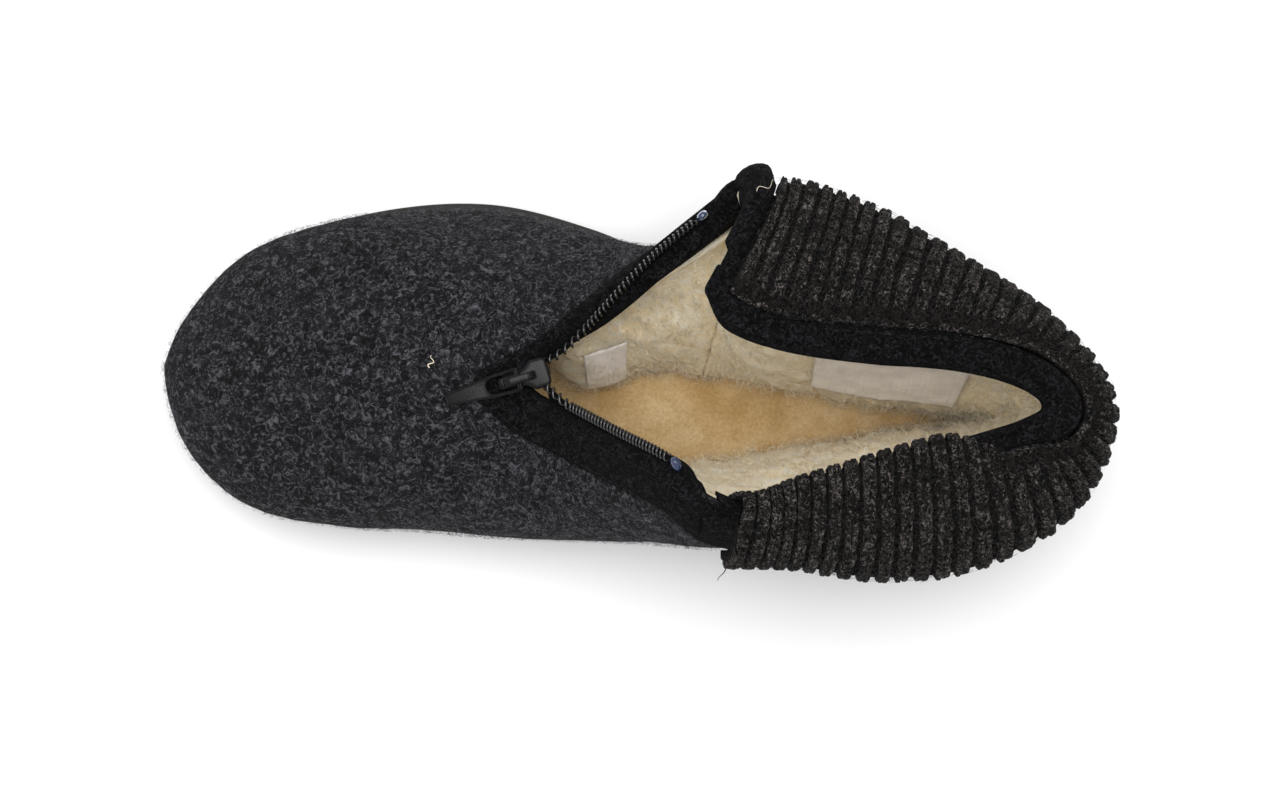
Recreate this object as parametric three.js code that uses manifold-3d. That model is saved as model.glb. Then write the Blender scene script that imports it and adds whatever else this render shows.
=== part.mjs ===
// Ankle-high felt house slipper for the right foot: a felt upper with an open front zip, a ribbed
// knitted collar turned down over the shaft, black felt bindings and a flat moulded sole.
// Millimetres, +Z up, +X towards the heel, +Y towards the outer (lateral) side of the foot.
// The origin is on the floor, at the middle of the heel's flat spot.
import * as THREE from 'three';
import { mergeVertices } from 'three/addons/utils/BufferGeometryUtils.js';
import Module from 'manifold-3d';

const wasm = await Module();
wasm.setup();

// Driving dimensions
const SOLE_LENGTH = 271;
const HEEL_OVERHANG = 34;
const BALL_WIDTH = 100;
const SHAFT_HEIGHT = 112;
const HEEL_THICKNESS = 12;
const FOREFOOT_THICKNESS = 8;
const TOE_SPRING = 7;
const ARCH_LIFT = 3;
const FELT_WALL = 4;
const FEATHER_INSET = 3;
const INSOLE_THICKNESS = 3.5;
const INSOLE_CLEARANCE = 0.7;
const GAP = 0.3;
const FELT_GAP = 0.7;
const SEAM_GAP = 0.8;
const FACING_FELT = 1.6;
const FACING_INSIDE = 11;
const BINDING_WIDTH = 10.5;
const FLAP_WIDTH = 7.5;
const FLAP_INSIDE = 8;
const FLAP_GAP = 1.2;
const BINDING_FELT = 1.8;
const KNIT_THICKNESS = 4.6;
const RIB_RAISE = 1.5;
const RIB_COUNT = 46;
const CUFF_DEPTH = 44;
const CHAIN_GAP = 0.5;
const CHAIN_WIDTH = 3.2;
const CHAIN_THICKNESS = 2.4;
const COIL_TOP = 0.9;
const PORT_REACH = 14;
const SLIDER_SHIFT = 1;
const SEAT_GAP = 0.9;
const STOP_GROW = 0.25;
const STOP_STEPS = 3;
const SLIDER_NOSE_REACH = 6.2;
const SLIDER_HEEL = 9;
const SLIDER_WIDTH = 8.6;
const SLIDER_NOSE = 4;
const SLIDER_PLATE = 1.6;
const SLIDER_BODY = 4;
const CROWN_WIDTH = 2.4;
const CROWN_HEIGHT = 4;
const PULL_LENGTH = 22.6;
const PULL_WIDTH = 7;
const PULL_HOLE = 4.8;
const PULL_THICKNESS = 1.3;
const PULL_REST = 0.5;

// Half widths of the sole along its length, as shares: along from the heel's back edge to the toe.
const OUTLINE = [
  { along: 0.03, lateral: 0.09, medial: 0.21 },
  { along: 0.10, lateral: 0.21, medial: 0.325 },
  { along: 0.20, lateral: 0.26, medial: 0.37 },
  { along: 0.31, lateral: 0.295, medial: 0.385 },
  { along: 0.42, lateral: 0.37, medial: 0.40 },
  { along: 0.53, lateral: 0.495, medial: 0.42 },
  { along: 0.64, lateral: 0.57, medial: 0.43 },
  { along: 0.75, lateral: 0.56, medial: 0.415 },
  { along: 0.85, lateral: 0.49, medial: 0.38 },
  { along: 0.93, lateral: 0.365, medial: 0.30 },
  { along: 0.983, lateral: 0.195, medial: 0.165 },
];
const HEEL_CENTRE = -0.06;
const TOE_CENTRE = 0.01;

// Sections of the upper, one row each. round is the share of the way around the sole from the heel's
// back, plus on the lateral side and minus on the medial side, so that 0.5 is the toe. along, across and
// high place the opening's edge. lean and rise aim the wall where it leaves the sole; reach, drop and
// shift aim it where it comes to the edge.
const COLLAR_FRONT = 0.205;
const FLAP_START = 0.213;
const MEDIAL_TOP = -0.212;
const COLLAR_SIDE = [
  { round: 0.205, along: 0.406, across: 0.285, high: 0.91, lean: 0.16, rise: 0.36, reach: 0.64, drop: -0.06, shift: 0.05 },
  { round: 0.185, along: 0.388, across: 0.19, high: 0.93, lean: 0.14, rise: 0.36, reach: 0.67, drop: -0.04, shift: 0.03 },
  { round: 0.16, along: 0.332, across: 0.13, high: 0.935, lean: 0.14, rise: 0.36, reach: 0.73, drop: -0.02, shift: 0.01 },
  { round: 0.12, along: 0.247, across: 0.095, high: 0.935, lean: 0.13, rise: 0.34, reach: 0.63, drop: 0, shift: 0 },
  { round: 0.08, along: 0.157, across: 0.075, high: 0.93, lean: 0.10, rise: 0.32, reach: 0.38, drop: 0, shift: 0 },
  { round: 0.04, along: 0.091, across: 0.03, high: 0.915, lean: 0.07, rise: 0.31, reach: 0.23, drop: 0, shift: 0 },
  { round: 0, along: 0.057, across: -0.045, high: 0.90, lean: 0.06, rise: 0.31, reach: 0.23, drop: 0, shift: 0 },
  { round: -0.04, along: 0.083, across: -0.105, high: 0.91, lean: 0.10, rise: 0.31, reach: 0.37, drop: 0, shift: 0 },
  { round: -0.08, along: 0.152, across: -0.165, high: 0.92, lean: 0.14, rise: 0.32, reach: 0.46, drop: 0, shift: 0 },
  { round: -0.12, along: 0.236, across: -0.24, high: 0.93, lean: 0.15, rise: 0.34, reach: 0.38, drop: 0, shift: 0 },
  { round: -0.16, along: 0.317, across: -0.305, high: 0.94, lean: 0.12, rise: 0.34, reach: 0.22, drop: 0.02, shift: 0 },
  { round: -0.19, along: 0.369, across: -0.335, high: 0.965, lean: 0.12, rise: 0.34, reach: 0.16, drop: 0.04, shift: 0 },
  { round: -0.215, along: 0.419, across: -0.285, high: 1, lean: 0.13, rise: 0.34, reach: 0.18, drop: 0.07, shift: 0 },
  { round: -0.235, along: 0.448, across: -0.226, high: 0.98, lean: 0.13, rise: 0.34, reach: 0.20, drop: 0.09, shift: 0 },
  { round: -0.27, along: 0.497, across: -0.162, high: 0.84, lean: 0.12, rise: 0.30, reach: 0.24, drop: 0.09, shift: 0 },
  { round: -0.31, along: 0.544, across: -0.10, high: 0.70, lean: 0.11, rise: 0.26, reach: 0.28, drop: 0.07, shift: 0 },
  { round: -0.35, along: 0.576, across: -0.057, high: 0.62, lean: 0.10, rise: 0.24, reach: 0.32, drop: 0.05, shift: 0 },
  { round: -0.39, along: 0.592, across: -0.03, high: 0.59, lean: 0.12, rise: 0.23, reach: 0.38, drop: 0.035, shift: 0 },
  { round: -0.44, along: 0.600, across: 0, high: 0.58, lean: 0.19, rise: 0.24, reach: 0.46, drop: 0.03, shift: 0 },
  { round: -0.50, along: 0.602, across: 0.022, high: 0.576, lean: 0.24, rise: 0.28, reach: 0.58, drop: 0.03, shift: 0 },
];
const VAMP_SIDE = [
  { round: 0.23, along: 0.428, across: 0.45, high: 0.688, lean: 0.06, rise: 0.22, reach: -0.06, drop: 0.15, shift: 0 },
  { round: 0.27, along: 0.472, across: 0.355, high: 0.656, lean: 0.03, rise: 0.23, reach: -0.02, drop: 0.13, shift: 0 },
  { round: 0.31, along: 0.517, across: 0.25, high: 0.625, lean: 0.04, rise: 0.24, reach: 0.08, drop: 0.12, shift: 0 },
  { round: 0.35, along: 0.557, across: 0.16, high: 0.598, lean: 0.05, rise: 0.24, reach: 0.20, drop: 0.07, shift: 0 },
  { round: 0.39, along: 0.585, across: 0.095, high: 0.586, lean: 0.11, rise: 0.24, reach: 0.34, drop: 0.04, shift: 0 },
  { round: 0.44, along: 0.600, across: 0.055, high: 0.58, lean: 0.18, rise: 0.25, reach: 0.46, drop: 0.03, shift: 0 },
];
const APEX_SHARE = 0.5;

// Small vector and curve tools
const UP = new THREE.Vector3(0, 0, 1);

function lerpAlong(rows, key, read) {
  // Smooth curve through the rows at their own spacing, as a cubic with finite-difference slopes
  const slope = (i) => {
    const a = Math.max(i - 1, 0);
    const b = Math.min(i + 1, rows.length - 1);
    return read(rows[b]).sub(read(rows[a])).divideScalar(rows[b][key] - rows[a][key]);
  };
  const points = rows.map(read);
  const slopes = rows.map((row, i) => slope(i));
  return (at) => {
    let i = 0;
    while (i < rows.length - 2 && at > rows[i + 1][key]) i += 1;
    const span = rows[i + 1][key] - rows[i][key];
    const t = (at - rows[i][key]) / span;
    const value = points[i].clone().multiplyScalar(1 - 3 * t * t + 2 * t * t * t);
    value.addScaledVector(slopes[i], span * (t - 2 * t * t + t * t * t));
    value.addScaledVector(points[i + 1], 3 * t * t - 2 * t * t * t);
    return value.addScaledVector(slopes[i + 1], span * (t * t * t - t * t));
  };
}

function smoothStep(from, to, at) {
  const t = Math.min(Math.max((at - from) / (to - from), 0), 1);
  return t * t * (3 - 2 * t);
}

// The sole's outline and its two faces
const soleX = (along) => HEEL_OVERHANG - along * SOLE_LENGTH;
const alongOf = (x) => (HEEL_OVERHANG - x) / SOLE_LENGTH;
const outlinePoints = [
  new THREE.Vector3(soleX(0), HEEL_CENTRE * BALL_WIDTH, 0),
  ...OUTLINE.map((row) => new THREE.Vector3(soleX(row.along), row.lateral * BALL_WIDTH, 0)),
  new THREE.Vector3(soleX(1), TOE_CENTRE * BALL_WIDTH, 0),
  ...OUTLINE.map((row) => new THREE.Vector3(soleX(row.along), -row.medial * BALL_WIDTH, 0)).reverse(),
];
const outlineCurve = new THREE.CatmullRomCurve3(outlinePoints, true, 'centripetal');
outlineCurve.arcLengthDivisions = 600;
const wrap = (round) => (round + 1) % 1;

function outward(round) {
  return outlineCurve.getTangentAt(wrap(round)).cross(UP).normalize();
}

function outlineAt(round, inset) {
  return outlineCurve.getPointAt(wrap(round)).addScaledVector(outward(round), -inset);
}

function soleBottom(x) {
  const along = alongOf(x);
  const arch = ARCH_LIFT * smoothStep(0.25, 0.33, along) * (1 - smoothStep(0.38, 0.47, along));
  const toe = Math.max(along - 0.72, 0) / 0.28;
  return arch + TOE_SPRING * toe * toe;
}

function soleTop(x) {
  const along = alongOf(x);
  const blend = smoothStep(0.22, 0.58, along);
  const toe = Math.max(along - 0.72, 0) / 0.28;
  return HEEL_THICKNESS * (1 - blend) + FOREFOOT_THICKNESS * blend + TOE_SPRING * toe * toe;
}

// Meshes from named rings of points
function meshOf(name, points, triangles, colour, roughness, metalness = 0) {
  const geometry = new THREE.BufferGeometry();
  geometry.setAttribute('position', new THREE.Float32BufferAttribute(points.flatMap((p) => p.toArray()), 3));
  geometry.setIndex(triangles);
  geometry.computeVertexNormals();
  const mesh = new THREE.Mesh(geometry, new THREE.MeshStandardMaterial({ color: colour, roughness, metalness }));
  mesh.name = name;
  return mesh;
}

function stackedRings(rings) {
  // Closed solid from rings around the outline: the first and last rings are closed across the foot
  const count = rings[0].length;
  const triangles = [];
  rings.slice(1).forEach((ring, j) => {
    for (let i = 0; i < count; i += 1) {
      const a = j * count + i;
      const b = j * count + (i + 1) % count;
      triangles.push(a, b, b + count, a, b + count, a + count);
    }
  });
  const top = (rings.length - 1) * count;
  for (let i = 0; i < count / 2; i += 1) {
    const left = [i, i + 1];
    const right = [(count - i) % count, count - i - 1];
    if (right[0] !== left[0]) {
      triangles.push(left[0], right[0], left[1]);
      triangles.push(top + left[0], top + left[1], top + right[0]);
    }
    if (right[1] !== left[1]) {
      triangles.push(left[1], right[0], right[1]);
      triangles.push(top + left[1], top + right[1], top + right[0]);
    }
  }
  return { points: rings.flat(), triangles };
}

const SOLE_STATIONS = 56;

function outlineRing(inset, height) {
  return Array.from({ length: SOLE_STATIONS }, (unused, i) => {
    const point = outlineAt(i / SOLE_STATIONS, inset);
    return point.setZ(height(point.x));
  });
}

// Moulded sole: a tread edge set in a little, then a proud rib that the felt stands on
const SOLE_SIDE = [
  { up: 0, inset: 2.2 },
  { up: 0.16, inset: 0.8 },
  { up: 0.5, inset: 0.8 },
  { up: 0.58, inset: 0 },
  { up: 1, inset: 0 },
];

function outsole() {
  const rings = SOLE_SIDE.map((row) => outlineRing(row.inset, (x) => (
    soleBottom(x) + row.up * (soleTop(x) - soleBottom(x))
  )));
  const { points, triangles } = stackedRings(rings);
  return meshOf('outsole', points, triangles, 0x1c1b1b, 0.85);
}

function insole() {
  const inset = FEATHER_INSET + FELT_WALL + INSOLE_CLEARANCE;
  const rings = [
    outlineRing(inset, (x) => soleTop(x) + GAP),
    outlineRing(inset, (x) => soleTop(x) + GAP + INSOLE_THICKNESS),
  ];
  const { points, triangles } = stackedRings(rings);
  return meshOf('insole', points, triangles, 0xb59a66, 0.95);
}

// The upper's surface. Every section is a cubic from the sole's feather line to the opening's edge.
function featherPoint(round) {
  const point = outlineAt(round, FEATHER_INSET);
  return point.setZ(soleTop(point.x) + GAP);
}

function sectionOf(row) {
  const foot = featherPoint(row.round);
  const out = outward(row.round);
  const edge = new THREE.Vector3(soleX(row.along), row.across * BALL_WIDTH, row.high * SHAFT_HEIGHT);
  const first = out.clone().multiplyScalar(row.lean * BALL_WIDTH).addScaledVector(UP, row.rise * SHAFT_HEIGHT);
  const last = edge.clone().addScaledVector(out, row.reach * BALL_WIDTH);
  last.addScaledVector(UP, -row.drop * SHAFT_HEIGHT);
  last.x += row.shift * SOLE_LENGTH;
  return { round: row.round, foot, first, last, edge };
}

function lowerPart(section, share) {
  // The stretch of a section's curve below one share of it, as a section of its own
  const a = section.foot;
  const b = a.clone().add(section.first);
  const ab = a.clone().lerp(b, share);
  const bc = b.clone().lerp(section.last, share);
  const cd = section.last.clone().lerp(section.edge, share);
  const abc = ab.clone().lerp(bc, share);
  const bcd = bc.clone().lerp(cd, share);
  return { round: section.round, foot: a, first: ab.sub(a), last: abc.clone(), edge: abc.lerp(bcd, share) };
}

function surfaceThrough(sections) {
  const sorted = [...sections].sort((a, b) => a.round - b.round);
  const first = lerpAlong(sorted, 'round', (s) => s.first.clone());
  const last = lerpAlong(sorted, 'round', (s) => s.last.clone());
  const edge = lerpAlong(sorted, 'round', (s) => s.edge.clone());
  const low = sorted[0].round;
  const high = sorted[sorted.length - 1].round;
  const at = (round, t) => {
    const foot = featherPoint(round);
    const s = 1 - t;
    const point = foot.clone().multiplyScalar(s * s * s);
    point.addScaledVector(foot.add(first(round)), 3 * s * s * t);
    point.addScaledVector(last(round), 3 * s * t * t);
    return point.addScaledVector(edge(round), t * t * t);
  };
  const normal = (round, t) => {
    const dr = 0.002;
    const dt = 0.01;
    const r0 = Math.max(round - dr, low);
    const r1 = Math.min(round + dr, high);
    const t0 = Math.max(t - dt, 0);
    const t1 = Math.min(t + dt, 1);
    const across = at(r1, t).sub(at(r0, t));
    return across.cross(at(round, t1).sub(at(round, t0))).normalize();
  };
  const rise = (round, t) => at(round, t).sub(at(round, t - 0.02)).normalize();
  const shareAt = (round, distance) => {
    // Share of the section at a distance below its edge, walked in short steps
    const steps = 60;
    let walked = 0;
    let before = at(round, 1);
    for (let i = 1; i <= steps; i += 1) {
      const point = at(round, 1 - i / steps);
      const step = point.distanceTo(before);
      if (walked + step >= distance) return 1 - (i - 1 + (distance - walked) / step) / steps;
      walked += step;
      before = point;
    }
    return 0;
  };
  return { at, normal, rise, shareAt, edge, low, high };
}

const collarSections = COLLAR_SIDE.map(sectionOf);
const collarSurface = surfaceThrough(collarSections);
const frontSection = collarSections[0];
const toeSection = collarSections[collarSections.length - 1];
const vampSurface = surfaceThrough([
  lowerPart(frontSection, APEX_SHARE),
  ...VAMP_SIDE.map(sectionOf),
  { ...toeSection, round: 0.5 },
]);

function offsetPoint(surface, round, t, out) {
  const point = surface.at(round, t);
  const moved = point.clone().addScaledVector(surface.normal(round, t), out);
  if (t === 0) moved.z = point.z;
  return moved;
}

// The felt upper: two grids of sections that share the section at the collar's front edge up to the
// apex, where the zip ends, and the section at the toe. The collar side goes on above the apex.
const ROWS = 8;
const COLLAR_STATIONS = [
  { round: -0.5, steps: 12 },
  { round: -0.29, steps: 9 },
  { round: MEDIAL_TOP, steps: 7 },
  { round: -0.15, steps: 8 },
  { round: -0.04, steps: 8 },
  { round: 0.04, steps: 7 },
  { round: 0.14, steps: 7 },
  { round: COLLAR_FRONT, steps: 0 },
];
const VAMP_STATIONS = [
  { round: COLLAR_FRONT, steps: 1 },
  { round: FLAP_START, steps: 8 },
  { round: 0.3, steps: 8 },
  { round: 0.4, steps: 8 },
  { round: 0.5, steps: 0 },
];

function roundsOf(stations) {
  return stations.flatMap((from, i) => Array.from({ length: from.steps || 1 }, (unused, k) => (
    from.steps ? from.round + (stations[i + 1].round - from.round) * (k / from.steps) : from.round
  )));
}
const collarRounds = roundsOf(COLLAR_STATIONS);
const vampRounds = roundsOf(VAMP_STATIONS);

function upper() {
  const points = [];
  const triangles = [];
  const add = (point) => points.push(point) - 1;
  const column = (surface, round, rows) => Array.from({ length: rows + 1 }, (unused, j) => ({
    outer: add(offsetPoint(surface, round, j / rows, 0)),
    inner: add(offsetPoint(surface, round, j / rows, -FELT_WALL)),
  }));
  const collar = collarRounds.map((round) => column(collarSurface, round, 2 * ROWS));
  const shared = collar[collar.length - 1];
  const toe = collar[0];
  const vamp = vampRounds.slice(1, -1).map((round) => column(vampSurface, round, ROWS));
  const face = (a, b, c) => {
    triangles.push(a.outer, b.outer, c.outer);
    triangles.push(a.inner, c.inner, b.inner);
  };
  const rim = (a, b) => {
    triangles.push(a.outer, a.inner, b.inner);
    triangles.push(a.outer, b.inner, b.outer);
  };
  const strip = (left, right, rows) => {
    for (let j = 0; j < rows; j += 1) {
      face(left[j], right[j], right[j + 1]);
      face(left[j], right[j + 1], left[j + 1]);
    }
  };
  for (let i = 0; i + 1 < collar.length; i += 1) {
    strip(collar[i], collar[i + 1], 2 * ROWS);
    rim(collar[i][0], collar[i + 1][0]);
    rim(collar[i + 1][2 * ROWS], collar[i][2 * ROWS]);
  }
  const vampColumns = [shared.slice(0, ROWS + 1), ...vamp];
  for (let i = 0; i + 1 < vampColumns.length; i += 1) {
    strip(vampColumns[i], vampColumns[i + 1], ROWS);
    rim(vampColumns[i][0], vampColumns[i + 1][0]);
    rim(vampColumns[i + 1][ROWS], vampColumns[i][ROWS]);
  }
  const lastColumn = vampColumns[vampColumns.length - 1];
  for (let j = 0; j < ROWS; j += 1) {
    face(lastColumn[j], toe[2 * j], toe[2 * j + 1]);
    face(lastColumn[j], toe[2 * j + 1], lastColumn[j + 1]);
    face(lastColumn[j + 1], toe[2 * j + 1], toe[2 * j + 2]);
  }
  rim(lastColumn[0], toe[0]);
  rim(toe[2 * ROWS], lastColumn[ROWS]);
  for (let j = ROWS; j < 2 * ROWS; j += 1) rim(shared[j], shared[j + 1]);
  return meshOf('upper', points, triangles, 0x3a3a3e, 0.95);
}

// A strip that clasps the opening's edge: each section is a closed loop of places, given as a
// distance down from the edge (minus is past the edge) and a height above the upper's outer face.
function placeBy(surface, round, down, out) {
  if (down >= 0) return offsetPoint(surface, round, surface.shareAt(round, down), out);
  const past = surface.rise(round, 1).multiplyScalar(-down);
  return offsetPoint(surface, round, 1, out).add(past);
}

function sweptLoops(loops) {
  // Closed solid from equal loops in a row, each turning the same way, with flat fans at its ends
  const count = loops[0].length;
  const points = loops.flat();
  const triangles = [];
  for (let i = 0; i + 1 < loops.length; i += 1) {
    for (let j = 0; j < count; j += 1) {
      const a = i * count + j;
      const b = i * count + (j + 1) % count;
      triangles.push(a, b, b + count, a, b + count, a + count);
    }
  }
  return { points, triangles, count };
}

// Widths of the black felt facing outside the throat, by the turn around the throat's edge from the
// medial side's top: 0.5 is the bottom of the zip.
const FACING = [
  { turn: 0.212, width: 0.19 },
  { turn: 0.225, width: 0.157 },
  { turn: 0.25, width: 0.134 },
  { turn: 0.30, width: 0.11 },
  { turn: 0.36, width: 0.104 },
  { turn: 0.44, width: 0.112 },
  { turn: 0.50, width: 0.132 },
  { turn: 0.53, width: 0.085 },
  { turn: 0.56, width: 0.058 },
  { turn: 0.60, width: 0.042 },
  { turn: 0.67, width: 0.037 },
  { turn: 0.72, width: 0.06 },
  { turn: 0.745, width: 0.08 },
  { turn: 0.79, width: 0.09 },
];

function claspLoop(width, inside, felt, outerSteps, gap = FELT_GAP) {
  const back = -FELT_WALL - gap;
  const run = (from, to, out, steps) => Array.from({ length: steps + 1 }, (unused, i) => (
    [from + (to - from) * (i / steps), out]
  ));
  return [
    ...run(width, 0, gap + felt, outerSteps),
    [-gap - felt, gap + felt / 2], [-gap - felt, back - felt / 2],
    ...run(0, inside, back - felt, 2),
    ...run(inside, -gap, back, 2),
    ...run(-gap, width, gap, outerSteps),
  ];
}

function closeEnds(points, triangles, count) {
  // Flat ends over closed loops: each is cut into triangles as a shape in its own plane
  [0, points.length - count].forEach((start, end) => {
    const loop = points.slice(start, start + count);
    const middle = loop.reduce((sum, p) => sum.add(p), new THREE.Vector3()).divideScalar(count);
    const normal = new THREE.Vector3();
    loop.forEach((p, i) => normal.add(p.clone().sub(middle).cross(loop[(i + 1) % count].clone().sub(middle))));
    const turn = new THREE.Quaternion().setFromUnitVectors(normal.normalize(), UP);
    const flat = loop.map((p) => {
      const turned = p.clone().sub(middle).applyQuaternion(turn);
      return new THREE.Vector2(turned.x, turned.y);
    });
    THREE.ShapeUtils.triangulateShape(flat, []).forEach(([a, b, c]) => {
      triangles.push(...(end ? [start + a, start + b, start + c] : [start + a, start + c, start + b]));
    });
  });
}

function sweep(name, loops, colour, roughness, metalness) {
  const { points, triangles, count } = sweptLoops(loops);
  closeEnds(points, triangles, count);
  return meshOf(name, points, triangles, colour, roughness, metalness);
}

function clasp(name, stations, width, inside, felt, outerSteps, colour) {
  return sweep(name, stations.map(({ surface, round }) => (
    claspLoop(width(round), inside, felt, outerSteps).map(([down, out]) => placeBy(surface, round, down, out))
  )), colour, 0.9, 0);
}

const turnOf = (round) => (round < 0 ? -round : 1 - round);
const facingWidth = lerpAlong(FACING, 'turn', (row) => new THREE.Vector3(row.width * BALL_WIDTH, 0, 0));

function throatFacing() {
  const medial = collarRounds.filter((round) => round <= MEDIAL_TOP).reverse();
  const lateral = vampRounds.filter((round) => round >= FLAP_START && round < 0.5).reverse();
  const stations = [
    ...medial.map((round) => ({ surface: collarSurface, round })),
    ...lateral.map((round) => ({ surface: vampSurface, round })),
  ];
  const width = (round) => facingWidth(turnOf(round)).x;
  return clasp('throat_facing', stations, width, FACING_INSIDE, FACING_FELT, 3, 0x17171a);
}

// Width of the mouth's binding that lies outside the felt: it rolls in along the medial front
const BINDING = [
  { round: -0.22, width: 0.015 },
  { round: -0.12, width: 0.017 },
  { round: -0.08, width: 0.028 },
  { round: -0.045, width: 0.045 },
  { round: -0.02, width: 0.08 },
  { round: 0.02, width: 0.08 },
  { round: 0.06, width: 0.068 },
  { round: 0.12, width: 0.074 },
  { round: 0.16, width: 0.065 },
  { round: 0.22, width: 0.065 },
];
const bindingWidth = lerpAlong(BINDING, 'round', (row) => new THREE.Vector3(row.width * BALL_WIDTH, 0, 0));
const bindingShown = (round) => bindingWidth(round).x;

function collarBinding() {
  const rounds = collarRounds.filter((round) => round > MEDIAL_TOP).reverse();
  const stations = rounds.map((round) => ({ surface: collarSurface, round }));
  return clasp('collar_binding', stations, bindingShown, BINDING_WIDTH, BINDING_FELT, 2, 0x151517);
}

// The front edge of the lateral collar runs up one section of the upper, from the apex to the mouth
function roundAway(t, distance) {
  // Round of the place that lies a distance behind the collar's front edge, walked in short steps
  const step = 0.0005;
  let walked = 0;
  let round = COLLAR_FRONT;
  let before = collarSurface.at(round, t);
  while (walked < distance) {
    round -= step;
    const point = collarSurface.at(round, t);
    walked += point.distanceTo(before);
    before = point;
  }
  return round;
}

function placeBehindFront(t, behind, out) {
  if (behind >= 0) return offsetPoint(collarSurface, roundAway(t, behind), t, out);
  const ahead = collarSurface.at(COLLAR_FRONT, t).sub(collarSurface.at(COLLAR_FRONT - 0.002, t)).normalize();
  return offsetPoint(collarSurface, COLLAR_FRONT, t, out).addScaledVector(ahead, -behind);
}

function flapBinding() {
  // Its loops stand at the upper's own rows, so both follow the same facets
  const high = collarSurface.shareAt(COLLAR_FRONT, BINDING_WIDTH + SEAM_GAP);
  const rows = Array.from({ length: ROWS }, (unused, j) => APEX_SHARE + (j + 1.2) / (2 * ROWS)).filter((t) => t < high);
  const loops = [...rows, high].map((t) => (
    claspLoop(FLAP_WIDTH, FLAP_INSIDE, BINDING_FELT, 2, FLAP_GAP).map(([behind, out]) => placeBehindFront(t, behind, out))
  ));
  return sweep('flap_binding', loops, 0x151517, 0.9, 0);
}

// Knitted cuff, turned down over the shaft from under the bindings. Rows run from its seam to its hem.
const CUFF_ROWS = [
  { down: 0, thick: 0.5 },
  { down: 0.07, thick: 0.9 },
  { down: 0.24, thick: 1 },
  { down: 0.42, thick: 1 },
  { down: 0.61, thick: 1 },
  { down: 0.80, thick: 1 },
  { down: 0.96, thick: 0.95 },
  { down: 1, thick: 0.7 },
];
const CUFF_MEDIAL_FRONT = -0.196;
const RIB_PROFILE = [0, 1];

function knitCuff() {
  const columns = RIB_COUNT * RIB_PROFILE.length;
  const loops = Array.from({ length: columns + 1 }, (unused, i) => {
    const back = i / columns;
    const raise = RIB_RAISE * RIB_PROFILE[i % RIB_PROFILE.length];
    const places = CUFF_ROWS.map((row) => {
      let round = COLLAR_FRONT + (CUFF_MEDIAL_FRONT - COLLAR_FRONT) * back;
      let t = 1;
      for (let pass = 0; pass < 3; pass += 1) {
        t = collarSurface.shareAt(round, bindingShown(round) + SEAM_GAP + row.down * CUFF_DEPTH);
        const front = roundAway(t, FLAP_WIDTH + SEAM_GAP);
        round = front + (CUFF_MEDIAL_FRONT - front) * back;
      }
      return { round, t, thick: row.thick };
    });
    const outer = places.map((place) => (
      offsetPoint(collarSurface, place.round, place.t, FELT_GAP + place.thick * (KNIT_THICKNESS + raise))
    ));
    const inner = places.map((place) => offsetPoint(collarSurface, place.round, place.t, FELT_GAP));
    return [...outer.reverse(), ...inner];
  });
  return sweep('knit_cuff', loops, 0x1a191a, 0.95, 0);
}

// Zip. Both halves of the coil stand past the facing's edge, and run into the slider's shoulders.
const throat = vampSurface.at(0.5, 1);
const throatUp = vampSurface.normal(0.5, 0.97);
const sliderAim = new THREE.Vector3(-0.96, -0.28, 0);
const sliderAhead = sliderAim.addScaledVector(throatUp, -sliderAim.dot(throatUp)).normalize();
const sliderSide = throatUp.clone().cross(sliderAhead);
const sliderSeat = throat.clone().addScaledVector(throatUp, FELT_GAP + FACING_FELT + SEAT_GAP);
sliderSeat.addScaledVector(sliderSide, -SLIDER_SHIFT);

function sliderPoint(ahead, side, up) {
  const point = sliderSeat.clone().addScaledVector(sliderAhead, ahead);
  return point.addScaledVector(sliderSide, side).addScaledVector(throatUp, up);
}

function edgeWalk(surface, from, to, steps) {
  // Rounds at equal steps along the opening's edge
  const fine = 400;
  const lengths = [0];
  for (let i = 1; i <= fine; i += 1) {
    const here = surface.at(from + (to - from) * (i / fine), 1);
    lengths.push(lengths[i - 1] + here.distanceTo(surface.at(from + (to - from) * ((i - 1) / fine), 1)));
  }
  return Array.from({ length: steps + 1 }, (unused, k) => {
    const goal = lengths[fine] * (k / steps);
    const i = lengths.findIndex((value) => value >= goal);
    return from + (to - from) * (i / fine);
  });
}

function coilLoops(surface, rounds, port, grow) {
  const near = -FELT_GAP - FACING_FELT - CHAIN_GAP + grow;
  const far = near - CHAIN_WIDTH - 2 * grow;
  const high = COIL_TOP + grow;
  const low = COIL_TOP - CHAIN_THICKNESS - grow;
  return rounds.map((round) => {
    const loop = [[near, high], [far, high], [far, low], [near, low]].map(([down, out]) => (
      placeBy(surface, round, down, out)
    ));
    const middle = loop.reduce((sum, p) => sum.add(p), new THREE.Vector3()).divideScalar(4);
    const blend = 1 - smoothStep(0, PORT_REACH, middle.distanceTo(port));
    const pull = port.clone().sub(middle).multiplyScalar(blend);
    return loop.map((p) => p.add(pull));
  });
}

const PORT = { ahead: -SLIDER_HEEL - 3.1, side: 2.4, up: -1.6 };

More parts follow.
